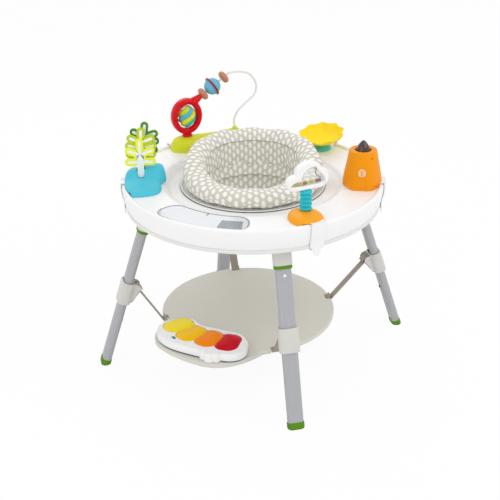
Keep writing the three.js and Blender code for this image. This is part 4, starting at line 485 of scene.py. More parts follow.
def striped(name, colours, pitch, start, centre, turns):
    """Moulded plastic in stripes that wind up a piece: the height, plus a share for each turn about the centre's
    vertical axis, picks the stripe's colour in order."""
    material, tree, shader = new_material(name)
    place = add_node(tree, "TexCoord").outputs["Object"]
    height = add_node(tree, "SeparateXYZ", {0: place}).outputs["Z"]
    local = add_node(tree, "VectorMath", {0: place, 1: tuple(c * MM for c in centre)}, operation="SUBTRACT")
    axes = add_node(tree, "SeparateXYZ", {0: local.outputs[0]})
    share = worked_out(tree, {"height": height, "X": axes.outputs["X"], "Y": axes.outputs["Y"]}, [
        ("above", "SUBTRACT", "height", start * MM), ("step", "DIVIDE", "above", pitch * MM),
        ("angle", "ARCTAN2", "Y", "X"), ("stripe", "MULTIPLY_ADD", "angle", turns / (2 * math.pi), "step"),
        ("round", "DIVIDE", "stripe", float(len(colours))), ("share", "FRACT", "round")])["share"]
    ramp = add_node(tree, "ValToRGB", {0: share})
    ramp.color_ramp.interpolation = "CONSTANT"
    while len(ramp.color_ramp.elements) < len(colours):
        ramp.color_ramp.elements.new(1.0)
    for k, colour in enumerate(colours):
        ramp.color_ramp.elements[k].position = k / len(colours)
        ramp.color_ramp.elements[k].color = linear(colour)
    fine = add_node(tree, "TexNoise", {"Vector": place, "Scale": per_metre(0.8), "Detail": 2.0})
    bump = add_node(tree, "Bump", {"Height": fine.outputs["Fac"], "Strength": 0.3, "Distance": 0.01 * MM})
    set_inputs(tree, shader, {"Base Color": ramp.outputs[0], "Normal": bump.outputs[0], "Roughness": 0.3,
                              "Specular IOR Level": 0.18})
    return material


# ABS from a polished tool: an even white with a soft, wide highlight. The lower shell is duller, as a part that
# is not seen from above.
WHITE_SHELL = moulded("white ABS shell", "#F5F5F4", 0.30, 0.8, 0.01, 0.02)
WHITE_TOY = moulded("white ABS toy", "#F4F4F3", 0.28, 0.7, 0.01, 0.02)
UNDER_SHELL = moulded("lower shell ABS", "#E7E6E2", 0.42, 0.8, 0.015, 0.03)
# Acetal, polypropylene and nylon: waxy and half matt, with a grain that blurs the highlight
STONE = moulded("light grey acetal", "#D3D2CC", 0.42, 0.6, 0.02, 0.04)
SEAT_RING = moulded("grey acetal ring", "#E6E6E4", 0.4, 0.6, 0.02, 0.03)
PLATFORM = moulded("grained grey polypropylene", "#D9D7CC", 0.55, 1.1, 0.05, 0.04)
SWITCH = moulded("teal acetal", "#2E9DB0", 0.35, 0.6, 0.01, 0.05, shine=0.18)
# This dark grey is the pegs' and slate beads' own colour; on the race's line, the piano's foot and the cloud window's
# side cord it is painted shade
DARK_GREY_AND_SHADE = moulded("dark grey nylon and painted shade", "#4B4D50", 0.4, 0.6, 0.02, 0.05)
BOWL_YELLOW = moulded("yellow polypropylene", "#FEE228", 0.38, 0.9, 0.02, 0.06, shine=0.18)
# Rubber and vinyl: matt and grippy, with hardly a highlight
GREEN_RUBBER = moulded("green thermoplastic rubber", "#5C8E14", 0.55, 0.6, 0.03, 0.08, shine=0.18)
WIRE_COAT = moulded("white vinyl sleeve", "#E9E9E5", 0.4, 3, 0.002, 0.02)
# Coloured ABS: deep, even colours whose highlight is weak, so that it does not wash them out
LIME = moulded("lime ABS", "#D8DF30", 0.3, 0.7, 0.01, 0.05, shine=0.18)
GARNET = moulded("garnet ABS", "#9E1B2D", 0.3, 0.7, 0.01, 0.08, shine=0.18)
TEAL = moulded("teal ABS", "#5CC9B5", 0.35, 0.7, 0.01, 0.05, shine=0.18)
ORANGE = moulded("orange ABS", "#F79A00", 0.33, 0.8, 0.015, 0.07, shine=0.18)
PEACH = moulded("peach ABS", "#FFC48A", 0.33, 0.7, 0.01, 0.05)
AMBER = moulded("amber ABS", "#FBA922", 0.3, 0.7, 0.01, 0.06, shine=0.18)
WATER = moulded("sky blue ABS", "#4FC4DA", 0.36, 0.8, 0.02, 0.05, shine=0.18)
SKY = moulded("sky blue bead ABS", "#6DB9D3", 0.42, 0.6, 0.02, 0.05, shine=0.18)
# High-gloss ABS: the tool is mirror polished, which gives the loop and the keys a small sharp glint
RED_GLOSS = moulded("glossy red ABS", "#DC0A18", 0.18, 0.8, 0.006, 0.06, 0.06, shine=0.15)
KEYS = {
    "yellow": moulded("yellow key ABS", "#FFE52C", 0.24, 0.8, 0.01, 0.04, shine=0.12),
    "amber": moulded("amber key ABS", "#FFC800", 0.24, 0.8, 0.01, 0.05, shine=0.12),
    "orange": moulded("orange key ABS", "#FF8C00", 0.24, 0.8, 0.01, 0.05, shine=0.12),
    "red": moulded("red key ABS", "#D00020", 0.2, 0.8, 0.01, 0.08, shine=0.12),
}
# Silicone: soft to the eye, matt, with a slight drift of colour
AQUA = moulded("aqua silicone", "#2FC0CF", 0.48, 0.6, 0.02, 0.06, shine=0.18)
LEAF_LIME = moulded("lime silicone", "#EEF73A", 0.45, 0.6, 0.02, 0.05, shine=0.18)
LEAF_OLIVE = moulded("pear silicone", "#BFD22E", 0.45, 0.6, 0.02, 0.06, shine=0.18)
LEAF_GREEN = moulded("green silicone", "#4E8F2A", 0.45, 0.6, 0.02, 0.08, shine=0.18)
# Polycarbonate: the tinted dome is glassy and dark, and the sheets let the things behind them show
SMOKE = moulded("smoky brown polycarbonate", "#47291F", 0.07, 0.9, 0.004, 0.5, 0.5)
CLEAR = clear_plastic("clear polycarbonate", "#E9ECEC", 0.12)
FROSTED = clear_plastic("frosted polycarbonate", "#E4E6EA", 0.9)
# The grey sheet below is painted shade, for the shaded parts seen through the window's right end
SEEN_THROUGH_SHADE = clear_plastic("grey sheet of painted see-through shade", "#9AA5A7", 0.45)
# The slate colours the window's catch, and along the window's edge it is painted shade for the gap round the sheet
EDGE_SHADE_AND_CATCH = moulded("slate window catch and painted edge shade", "#8A8EA2", 0.5, 0.6, 0.01, 0.1)
# Cloth, webbing and cord: dull, with threads that catch the light one by one
CLOTH = printed_cloth("printed cotton", "#D1CEC3", "#FBF9F1")
WEBBING = webbing_cloth("taupe webbing", "#B3A898")
PIPING = moulded("grey corded piping", "#85827A", 0.8, 0.5, 0.05, 0.2)
# Aluminium that is drawn and anodised has a silky, drawn-out highlight, and turned beech a warm flecked face
TUBE = drawn_tube("anodised aluminium", "#B9BABD")
WOOD = turned_wood("stained beech", "#DC9069")


# Pieces
CUT_SHARP = 30


def piece(name, shapes, material, body, stands_for=(), sharp=35):
    """One object from one or more shapes: vertices in metres, faces, cloth places, smooth faces whose edges
    past an angle stay sharp, the body that it rides on, and the CAD nodes that it stands for."""
    count, vertices, faces, flat = 0, [], [], []
    for points, quads, triangles, places in shapes:
        vertices.append(points * MM)
        faces += (quads + count).tolist() + (triangles + count).tolist()
        if places is not None:
            flat.append(places.reshape(-1, 2))
            flat.append(np.zeros((len(triangles) * 3, 2)))
        count += len(points)
    mesh = bpy.data.meshes.new(name)
    mesh.from_pydata(np.vstack(vertices).tolist(), [], faces)
    if flat:
        layer = mesh.uv_layers.new(name="cloth")
        layer.data.foreach_set("uv", np.vstack(flat).astype(np.float32).ravel())
    mesh.shade_smooth()
    mesh.set_sharp_from_angle(angle=math.radians(sharp))
    mesh.materials.append(material)
    obj = bpy.data.objects.new(name, mesh)
    bpy.context.scene.collection.objects.link(obj)
    if body:
        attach(obj, body)
    if stands_for:
        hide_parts(*stands_for)
    return obj


def carve(obj, *cutters):
    """Cuts shapes out of a piece with an exact boolean and keeps the result as its mesh."""
    for cutter in cutters:
        tool = piece("cutter", [cutter], obj.data.materials[0], None)
        cut = obj.modifiers.new("cut", "BOOLEAN")
        cut.object = tool
        cut.solver = "EXACT"
        bpy.context.view_layer.update()
        carved = bpy.data.meshes.new_from_object(obj.evaluated_get(bpy.context.evaluated_depsgraph_get()))
        obj.modifiers.clear()
        obj.data = carved
        bpy.data.objects.remove(tool)
    obj.data.shade_smooth()
    obj.data.set_sharp_from_angle(angle=math.radians(CUT_SHARP))


# Table: shell with its window, window pane and lower shell; the sockets are made with the legs
def skirt_radius(z):
    """The skirt's radius: it draws in with the square of the distance below the rim."""
    return TABLE_RADIUS - SKIRT_DRAFT * ((rim_z - z) / (rim_z - bottom_z)) ** 2


def tray_profile():
    """Half section of the upper shell, from the hole's lip over the race, dish, deck and rim and back inside."""
    top = eased([
        (HOLE_RADIUS, race_top - HOLE_LIP_DEPTH), (HOLE_RADIUS, race_top), (race_radius, race_top),
        (race_radius, dish_top + RACE_LIP_HEIGHT), (race_radius + RACE_LIP_WIDTH, dish_top + RACE_LIP_HEIGHT),
        (race_radius + RACE_LIP_WIDTH + 2, dish_top), (DISH_RADIUS - DISH_SLOPE, dish_top),
        (DISH_RADIUS, deck_top), (deck_edge - 3, deck_top), (deck_edge + 0.5, rim_z)],
        [0, 1.5, 1, 1, 1, 1, 9, 9, 4, 0], 6, closed=False)
    turn = np.radians(np.linspace(172, 0, 14))
    rim = np.stack([rim_radius + RIM_ROUND * np.cos(turn), rim_z + RIM_ROUND * np.sin(turn)], -1)
    z = np.linspace(rim_z - 5, seam_z, 10)
    skirt = np.stack([skirt_radius(z), z], -1)
    inside = [(skirt_radius(seam_z) - SHELL_WALL, seam_z), (TABLE_RADIUS - SHELL_WALL - 1, rim_z - 6),
              (deck_edge, deck_top - SHELL_WALL), (DISH_RADIUS, deck_top - SHELL_WALL),
              (DISH_RADIUS - DISH_SLOPE, dish_top - SHELL_WALL), (race_radius + SHELL_WALL, dish_top - SHELL_WALL),
              (race_radius + SHELL_WALL, race_top - SHELL_WALL), (HOLE_RADIUS + SHELL_WALL, race_top - SHELL_WALL),
              (HOLE_RADIUS + SHELL_WALL, race_top - HOLE_LIP_DEPTH)]
    return np.vstack([top, rim, skirt, inside])


WINDOW_RADIUS = 315
WINDOW_ANGLE = -129.5
WINDOW_SPAN = 47.6
WINDOW_WIDTH = 84
WINDOW_CORNER = 34
SHEET_THICKNESS = 2.4


def window_outline(margin):
    """A long rounded box bent round the table: x becomes an angle and y a radius."""
    length = WINDOW_RADIUS * math.radians(WINDOW_SPAN) + 2 * margin
    flat = rounded_box(length, WINDOW_WIDTH + 2 * margin, WINDOW_CORNER + margin, 10, 24)
    angle, radius = math.radians(WINDOW_ANGLE) + flat[:, 0] / WINDOW_RADIUS, WINDOW_RADIUS - flat[:, 1]
    return np.stack([radius * np.cos(angle), radius * np.sin(angle)], -1)[::-1]


def prism(outline, low, high):
    """A plain plate with square edges, for cutting."""
    return skin(raised(outline, np.zeros(2), np.array([low, high], float)))


tray = piece("tray_shell", [revolved(tray_profile(), 224)], WHITE_SHELL, "frame", ["tray_top"])
carve(tray, prism(window_outline(0), deck_top - SHEET_THICKNESS - 0.4, deck_top + 20),
      prism(window_outline(-4), deck_top - 20, deck_top + 20))
piece("window_sheet", [slab(window_outline(-GAP), deck_top - SHEET_THICKNESS, deck_top, 0.6, 3)], FROSTED, "frame",
      ["window_pane"])


def window_edge_shade_line():
    """A thin dark line laid on the sheet's edge, over the far side and round both ends: painted shade for the gap
    round the sheet.
    """
    outline = window_outline(-1.6)
    far = np.degrees(np.arctan2(outline[:, 1], outline[:, 0])) - WINDOW_ANGLE
    near_side = (np.linalg.norm(outline, axis=1) > WINDOW_RADIUS + 3) & (np.abs(far) < WINDOW_SPAN / 2 - 1.3)
    first = np.nonzero(near_side & ~np.roll(near_side, -1))[0][0] + 1
    line = np.roll(outline, -first, 0)[:len(outline) - near_side.sum()]
    path = np.column_stack([line, np.full(len(line), deck_top + 0.1)])
    return ribbon(path, rounded_box(1.5, 0.8, 0.35, 3), (0, 0, 1))


def arc_patch(angles, radii, thickness):
    """A thin plate on the deck between two angles and two radii with eased corners."""
    angle = np.linspace(angles[0], angles[1], 12)
    corners = np.concatenate([polar(radii[1], angle)[:, :2], polar(radii[0], angle[::-1])[:, :2]])
    return slab(eased(corners, 5, 4), deck_top + 0.05, deck_top + 0.05 + thickness, 0.1, 3)


# A slate line of painted shade in the gap round the window's sheet
piece("window_edge_shade", [window_edge_shade_line()], EDGE_SHADE_AND_CATCH, "frame")
# A see-through grey sheet on the window's right end: painted shade for the shaded parts under the table seen through
# it
piece("window_seen_through_shade", [arc_patch((-119.5, -108.6), (303, 352), 0.45)], SEEN_THROUGH_SHADE, "frame")
piece("window_catch", [arc_patch((-129.7, -129.1), (276, 288), 0.55)], EDGE_SHADE_AND_CATCH, "frame")

lip_radius = skirt_radius(seam_z) + SEAM_STEP
lip_inside = lip_radius - SHELL_WALL - SEAM_STEP
under_floor = bottom_z + SHELL_WALL
under_lip = race_top - HOLE_LIP_DEPTH - GAP
under_profile = eased([
    (HOLE_RADIUS, bottom_z), (lip_radius, bottom_z), (lip_radius, seam_z - GAP), (lip_inside, seam_z - GAP),
    (lip_inside, under_floor), (HOLE_RADIUS + SHELL_WALL, under_floor), (HOLE_RADIUS + SHELL_WALL, under_lip),
    (HOLE_RADIUS, under_lip)], [1, 3, 1, 0.5, 0.5, 0.5, 0.5, 0.5])
under = piece("lower_shell", [revolved(under_profile, 192)], UNDER_SHELL, "frame", ["tray_underside"])
carve(under, prism(window_outline(5), bottom_z - 20, bottom_z + 24))


# Legs
GROOVE_DEPTH = 0.8
GROOVE_SIDE = 9.2
GROOVE_WIDTH = 0.9
TUBE_BOTTOM = 12
BAR_RADIUS = 3.5
PEG_LOWEST = 150
PEG_STEP = 70
SNAP_HEIGHT = 426
collar_bar = (-(TUBE_DEPTH / 2 + 18.1), COLLAR_MID + COLLAR_HEIGHT / 2 - 10)


def leg_frame(degrees):
    """The frame of one leg: Z up the leg from the floor, X outward, Y round the table."""
    return turn_z(degrees) @ offset(LEG_RADIUS) @ Matrix.Rotation(-LEG_SPLAY, 4, "Y")


def tube_outline(margin):
    """The tube's section grown by a margin."""
    return rounded_box(TUBE_DEPTH + 2 * margin, TUBE_WIDTH + 2 * margin, TUBE_CORNER + margin, 8, 4)


def flat_places(outline, along):
    """Cloth places of a section that is carried along a path: the way round the section, and the way along."""
    steps = np.linalg.norm(np.roll(outline, -1, 0) - outline, axis=1)
    around = np.concatenate([[0], np.cumsum(steps)])
    return np.stack(np.broadcast_arrays(around[None, :], along[:, None]), -1)


def leg_tube():
    """The section, with a shallow groove near each side of its broad faces, carried from the foot to the top."""
    outline = rounded_box(TUBE_DEPTH, TUBE_WIDTH, TUBE_CORNER, 8, 24)
    broad = np.clip(np.abs(outline[:, 0]) - (TUBE_DEPTH / 2 - 1), 0, 1)
    groove = GROOVE_DEPTH * broad * np.exp(-((np.abs(outline[:, 1]) - GROOVE_SIDE) / GROOVE_WIDTH) ** 2)
    outline = outline + inward(outline) * groove[:, None]
    heights = np.linspace(TUBE_BOTTOM, TUBE_TOP, 12)
    return skin(raised(outline, np.zeros(12), heights), places=flat_places(outline, heights))


def foot_cap(degrees):
    """A cup round the tube's end, cut flat where it meets the floor."""
    insets = np.array([6, 3.5, 1.5, 0.3, 0, 0, 0.4, 1, 1.7])
    heights = np.array([-6, -6, -4, -1, 3, 14.8, 15.6, 16, 16])
    vertices, *faces = moved(skin(raised(tube_outline(1.8), insets, heights)), leg_frame(degrees))
    vertices = vertices.copy()
    vertices[:, 2] = np.maximum(vertices[:, 2], 0)
    return (vertices, *faces)


def collar_shapes():
    """A sleeve, two ears on its inner side that are drawn down to a gusset, and the bar between them."""
    low, high = COLLAR_MID - COLLAR_HEIGHT / 2, COLLAR_MID + COLLAR_HEIGHT / 2
    outline = rounded_box(TUBE_DEPTH + 2 * COLLAR_WALL, TUBE_WIDTH + 2 * COLLAR_WALL, 15, 8, 4)
    face, reach, top = -(TUBE_DEPTH / 2 + 3.4), 21.7, high - 3
    ear = [(0, 0), (0.6, 0.5), (1, -6), (0.98, -14), (0.72, -27), (0.3, -54), (0, -58)]
    line = eased([(face - reach * out, top + up) for out, up in ear], 6, 6)[::-1]
    ears = [shifted(moved(slab(line, -2.5, 2.5, 1.0), UPRIGHT), y=side * 16.5) for side in (-1, 1)]
    bar = moved(shifted(capsule(33, BAR_RADIUS), z=-16.5), offset(collar_bar[0], 0, collar_bar[1]) @ ALONG_Y)
    return [band(outline, tube_outline(COLLAR_PLAY), low, high, 2.2), *ears, bar]


# The height pegs stand on the tube's inner face and the snap button on its outer face
pegs = [moved(capsule(4, 4), offset(-TUBE_DEPTH / 2 + 0.8, 0, PEG_LOWEST + PEG_STEP * k) @ AGAINST_X)
        for k in range(3)]
snap_button = moved(capsule(3, 4), offset(TUBE_DEPTH / 2 - 1, 0, SNAP_HEIGHT) @ ALONG_X)
ring_top = RING_BOTTOM + RING_HEIGHT
end_ring = band(tube_outline(3.4), tube_outline(GAP), RING_BOTTOM, ring_top, 1.0)
socket = band(tube_outline(4), tube_outline(GAP), ring_top + GAP, TUBE_TOP + 5, 1.0)
for side, degrees in LEG_ANGLES.items():
    at = leg_frame(degrees)
    piece(f"tube_{side}", [moved(leg_tube(), at)], TUBE, "frame", [f"leg_tube_{side}"])
    piece(f"pegs_{side}", [moved(peg, at) for peg in pegs], DARK_GREY_AND_SHADE, "frame")
    piece(f"button_{side}", [moved(snap_button, at)], WHITE_TOY, "frame")
    piece(f"foot_{side}", [foot_cap(degrees)], GREEN_RUBBER, "frame", [f"foot_cap_{side}"])
    piece(f"ring_{side}", [moved(end_ring, at)], GREEN_RUBBER, "frame", [f"leg_ring_{side}"])
    piece(f"socket_{side}", [moved(socket, at)], STONE, "frame")
    piece(f"sleeve_{side}", [moved(shape, at) for shape in collar_shapes()], STONE, f"collar_{side}",
          [f"collar_{side}"])


# Platform and straps
LOBE_RADIUS = 358
LOBE_START = -177
LOBE_END = -98
BAR_INSET = 6
STRAP_THICKNESS = 2
STRAP_WIDTH = 25


def disc_edge(degrees):
    """The disc's edge, a circle whose middle is shifted along X."""
    a = np.radians(degrees)
    return PLATFORM_SHIFT * np.cos(a) + np.sqrt(PLATFORM_RADIUS ** 2 - (PLATFORM_SHIFT * np.sin(a)) ** 2)


def platform_edge(degrees):
    """The disc's edge, swelling to a lobe: a sine of the smaller of the rise and the fall on its two sides."""
    rise = np.clip((degrees - LOBE_START) / 23, 0, 1)
    fall = np.clip((LOBE_END - degrees) / 31, 0, 1)
    swell = np.sin(np.pi / 2 * np.minimum(rise, fall) ** 1.12)
    return disc_edge(degrees) + (LOBE_RADIUS - disc_edge(degrees)) * swell


def platform_outline():
    """Points round the platform's edge."""
    degrees = -180 + 360 * np.arange(240) / 240
    return polar(platform_edge(degrees), degrees)[:, :2]


platform = piece("platform_plate", [slab(platform_outline(), PLATFORM_TOP - PLATFORM_THICKNESS, PLATFORM_TOP, 3)],
                 PLATFORM, "platform", ["platform_disc"])
platform_mid = PLATFORM_TOP - PLATFORM_THICKNESS / 2
for side, degrees in LEG_ANGLES.items():
    notch = prism(rounded_box(36, 31, 4, 4) + [disc_edge(degrees) + 2, 0], PLATFORM_TOP - 30, PLATFORM_TOP + 20)
    carve(platform, moved(notch, turn_z(degrees)))
    bar_place = turn_z(degrees) @ offset(disc_edge(degrees) - BAR_INSET, 0, platform_mid) @ ALONG_Y
    piece(f"strap_bar_{side}", [moved(shifted(capsule(35, BAR_RADIUS), z=-17.5), bar_place)], PLATFORM, "platform")


def leg_point(x, z):
    """A point of a leg's frame as a radius and a height."""
    return np.array([LEG_RADIUS + x * math.cos(LEG_SPLAY) - z * math.sin(LEG_SPLAY),
                     x * math.sin(LEG_SPLAY) + z * math.cos(LEG_SPLAY)])


def strap_line(degrees):
    """The strap's middle line: a return, half a turn round the platform's bar, the span, and the same above."""
    lower = np.array([disc_edge(degrees) - BAR_INSET, platform_mid])
    upper = leg_point(*collar_bar)
    along = (upper - lower) / np.linalg.norm(upper - lower)
    out = np.array([along[1], -along[0]])
    radius = BAR_RADIUS + GAP + STRAP_THICKNESS / 2
    turn = np.linspace(0, np.pi, 14)[:, None]
    low_wrap = lower - radius * np.cos(turn) * out - radius * np.sin(turn) * along
    high_wrap = upper + radius * np.cos(turn) * out + radius * np.sin(turn) * along
    start = lower - out * radius + along * np.linspace(14, 2, 5)[:, None]
    share = np.linspace(0.06, 0.94, 16)[:, None]
    span = (lower + out * radius) * (1 - share) + (upper + out * radius) * share
    end = upper - out * radius - along * np.linspace(2, 16, 5)[:, None]
    line = np.vstack([start, low_wrap, span, high_wrap, end])
    return np.stack([line[:, 0], np.zeros(len(line)), line[:, 1]], -1)


def strap_shape(degrees):
    """A flat section with rounded edges carried along the strap's line, its cloth place measured along it."""
    path = strap_line(degrees)
    section = rounded_box(STRAP_THICKNESS, STRAP_WIDTH, 0.8, 3, 2)
    far = np.concatenate([[0], np.cumsum(np.linalg.norm(np.diff(path, axis=0), axis=1))])
    return moved(ribbon(path, section, places=flat_places(section, far)), turn_z(degrees))


# The free span of each strap runs from point 19 to point 34 of its line
for side, degrees in LEG_ANGLES.items():
    strap = piece(f"webbing_{side}", [strap_shape(degrees)], WEBBING, None, [f"strap_{side}"], 60)
    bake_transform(strap)


# Piano
PIANO_INNER = 207
PIANO_OUTER = 345
PIANO_ANGLE = -137.5
PIANO_LENGTH = 286
PIANO_THICKNESS = 27
PIANO_PUSH = 13
KEY_LENGTH = 92
KEY_WIDTH = 69
KEY_CORNER = 29
KEY_PLAY = 1.4
KEY_FIRST = -158.2
KEY_PITCH = 12.75
KEY_RADIUS = 270
BUMP_ANGLE = -126
SWITCH_ANGLE = -149
piano_radius = (PIANO_INNER + PIANO_OUTER) / 2
piano_bottom = PLATFORM_TOP + GAP
piano_top = piano_bottom + PIANO_THICKNESS


def piano_push(x):
    """How far the piano moves outward at a distance along it: a bell curve about a point on its left."""
    return PIANO_PUSH * np.exp(-((x + 60) / 55) ** 2)


def piano_outline():
    """A long rounded box, bent round the table's axis and pushed outward on its left. The outer side is eased in
    by a parabola, and more on the right, by a smooth step."""
    flat = rounded_box(PIANO_LENGTH, PIANO_OUTER - PIANO_INNER, 60, 14, 16)
    middle = np.maximum(0, 1 - (2 * flat[:, 0] / PIANO_LENGTH) ** 2)
    drawn_in = (5 + 7 * smooth(np.clip((flat[:, 0] - 20) / 40, 0, 1))) * middle
    y = np.where(flat[:, 1] > 0, flat[:, 1] - drawn_in, flat[:, 1])
    way = PIANO_ANGLE + np.degrees(flat[:, 0] / piano_radius)
    return polar(piano_radius + y + piano_push(flat[:, 0]), way)[::-1, :2]


def key_at(index):
    """The frame of one key, on the arc that the keys follow."""
    degrees = KEY_FIRST + KEY_PITCH * index
    along = math.radians(degrees - PIANO_ANGLE) * piano_radius
    return turn_z(degrees) @ offset(KEY_RADIUS + 0.55 * piano_push(along))


def key_shape(index):
    """A pillow: the outline's points drawn in and lifted along a quarter ellipse."""
    outline = rounded_box(KEY_LENGTH, KEY_WIDTH, KEY_CORNER, 10, 6)
    a = np.linspace(0, np.pi / 2 - 0.05, 12)
    shares = np.concatenate([[1, 1], 0.06 + 0.94 * np.cos(a) ** 0.8])
    heights = np.concatenate([[piano_top - 7, piano_top - 4], piano_top - 3 + 6.6 * np.sin(a) ** 0.85])
    return moved(skin(lifted(outline[None] * shares[:, None, None], heights)), key_at(index))


def key_pocket(index, depth):
    """A cutter of one key's outline, with its play, from a depth below the case's top."""
    outline = rounded_box(KEY_LENGTH + KEY_PLAY, KEY_WIDTH + KEY_PLAY, KEY_CORNER + KEY_PLAY / 2, 10)
    return moved(prism(outline, piano_top - depth, piano_top + 20), key_at(index))


housing = piece("piano_case", [slab(piano_outline(), piano_bottom + 2.4, piano_top, 7, 9)], WHITE_TOY, "platform",
                ["piano_housing"])
carve(housing, *[key_pocket(index, 10.3) for index in range(4)])
# A dark plate set in under the case's edge, which is raised off the platform: painted shade for the gap between the
# case and the platform
shade_foot_outline = piano_outline() + inward(piano_outline()) * 4
piece("piano_shade_foot", [prism(shade_foot_outline, PLATFORM_TOP + 0.1, piano_bottom + 4)], DARK_GREY_AND_SHADE, "platform")
bump = []
for radius, along, size, above in ((335, 0, 37.2, 3), (332, -18.6, 27, 2.786), (332, 18.6, 27, 2.414)):
    lobe = slab(ellipse(size, size, 48), piano_bottom, piano_top + above, 3)
    bump.append(moved(shifted(lobe, radius, along), turn_z(BUMP_ANGLE)))
piece("piano_bump", bump, WHITE_TOY, "platform")
for index, colour in enumerate(KEYS):
    key = piece(f"key_cap_{colour}", [key_shape(index)], KEYS[colour], f"key_{colour}", [f"piano_key_{colour}"],
                60)
    if index:
        carve(key, key_pocket(index - 1, 20))
switch_place = turn_z(SWITCH_ANGLE) @ offset(328.5)
carve(housing, moved(prism(rounded_box(8, 18, 2, 4), piano_top - 4, piano_top + 20), switch_place))
piece("switch_knob", [moved(slab(rounded_box(7.4, 8, 1.5, 4), piano_top - 3.7, piano_top + 2.5, 0.8), switch_place)],
      SWITCH, "switch", ["piano_switch"])


# Seat
SEAT_FACING = -103.5
flange_bottom = race_top + GAP
flange_top = dish_top + 1.6
ring_radius = race_radius - 1.4
tube_radius = HOLE_RADIUS - 1.4
shade_line_radius = ring_radius - 1.8
seat_ring = eased([
    (tube_radius - 4, flange_bottom - 26), (tube_radius, flange_bottom - 26), (tube_radius, flange_bottom),
    (shade_line_radius, flange_bottom), (shade_line_radius, dish_top + 2.4), (ring_radius + 0.9, dish_top + 2.4),
    (ring_radius + 0.9, dish_top + 4.6), (ring_radius - 4.5, dish_top + 4.6), (ring_radius - 7, flange_top - 0.4),
    (tube_radius - 4, flange_top - 0.4)], [1, 1, 1, 0.5, 0.3, 0.4, 1, 1.2, 1, 1])
piece("ring_flange", [revolved(seat_ring, 192)], SEAT_RING, "seat", ["seat_ring"])
# A thin dark ring in the race, under the flange's outer bead: painted shade for the gap between the seat ring and the
# table
race_shade_profile = [(shade_line_radius + 0.1, race_top + 0.4), (shade_line_radius + 1.5, race_top + 0.4),
         (shade_line_radius + 1.5, dish_top + 2.3), (shade_line_radius + 0.1, dish_top + 2.3)]
piece("race_shade_line", [revolved(race_shade_profile, 192)], DARK_GREY_AND_SHADE, "seat")

BOLSTER_STEPS = 256
BOLSTER_ROUND = 56
BOLSTER_OUTSIDE = 202
BOLSTER_HEIGHT = 50
BACK_RISE = 60
BOLSTER_WIDTH = 72
BACK_THINNING = 14
GATHER_COUNT = 12
GATHER_DEPTH = 1.6
SEAM_ROW = 25


def bolster_points():
    """A stuffed ring. Round each section, a superellipse of the local width and height; both change from front
    to back by an eased cosine, the back leans out, and gathers press in twelve times round."""
    angle = np.linspace(0, 2 * np.pi, BOLSTER_STEPS, endpoint=False)[None, :]
    turn = (2 * np.pi * np.arange(BOLSTER_ROUND) / BOLSTER_ROUND)[:, None]
    ease = smooth((1 - np.cos(angle)) / 2)
    height = BOLSTER_HEIGHT + BACK_RISE * ease
    width = BOLSTER_WIDTH - BACK_THINNING * ease
    gather = GATHER_DEPTH * (0.5 - 0.5 * np.cos(GATHER_COUNT * angle))
    c, s = np.cos(turn), np.sin(turn)
    across = np.sign(c) * np.abs(c) ** 0.72 * (width / 2 - gather)
    up = np.sign(s) * np.abs(s) ** 0.72 * (height / 2 - gather)
    lift = (up + height / 2) / height
    radius = BOLSTER_OUTSIDE - BACK_THINNING * ease * (1 - lift) - width / 2 + across
    z = flange_top + GAP + height / 2 + up - gather
    return polar(radius, SEAT_FACING + np.degrees(angle), np.maximum(z, flange_top + GAP))


def cloth_places(points, round_radius):
    """The place of each grid point on the flat cloth: the way round at a fixed radius, and the length along
    the section measured from its first point."""
    rows, columns = points.shape[:2]
    closed = np.concatenate([points, points[:1]])
    lengths = np.concatenate([np.zeros((1, columns)), np.cumsum(np.linalg.norm(np.diff(closed, axis=0), axis=2), 0)])
    lengths = np.concatenate([lengths, lengths[:, :1]], 1)
    way = 2 * np.pi * round_radius * np.arange(columns + 1) / columns
    way = np.round(way[-1] / (2 * DROP_ACROSS)) * 2 * DROP_ACROSS * way / way[-1]
    return np.stack(np.broadcast_arrays(way[None, :], lengths), -1)


def puffed(obj, pressure, frames, cap, pinned):
    """Blows a padded piece up with the cloth solver, keeps the pinned points, and caps how far a point may move."""
    rest = np.array([v.co for v in obj.data.vertices])
    group = obj.vertex_groups.new(name="held")
    for index in np.nonzero(pinned)[0].tolist():
        group.add([index], 1.0, "REPLACE")
    cloth = obj.modifiers.new("cloth", "CLOTH")
    cloth.settings.vertex_group_mass = "held"
    cloth.settings.use_pressure = True
    cloth.settings.uniform_pressure_force = pressure
    cloth.settings.shrink_min = -0.035
    cloth.settings.tension_stiffness = 25
    cloth.settings.bending_stiffness = 1.2
    cloth.settings.effector_weights.gravity = 0
    cloth.collision_settings.use_collision = False
    cloth.point_cache.frame_end = frames
    for number in range(1, frames + 1):
        bpy.context.scene.frame_set(number)
    done = obj.evaluated_get(bpy.context.evaluated_depsgraph_get()).to_mesh()
    after = np.array([v.co for v in done.vertices])
    obj.modifiers.clear()
    obj.vertex_groups.clear()
    bpy.context.scene.frame_set(1)
    step = after - rest
    far = np.linalg.norm(step, axis=1, keepdims=True)
    step *= np.minimum(1, cap * MM / np.maximum(far, 1e-9))
    obj.data.vertices.foreach_set("co", (rest + step).astype(np.float32).ravel())
    obj.data.update()


bolster_rows = bolster_points()
bolster = piece("bolster_cushion", [skin(bolster_rows, wrap_rows=True, places=cloth_places(bolster_rows, 175))],
                CLOTH, None, ["seat_bolster"], 180)
held = bolster_rows[..., 2] < flange_top + 4
held[SEAM_ROW] = True
puffed(bolster, 1.2, 14, 4, held.ravel())
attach(bolster, "seat")


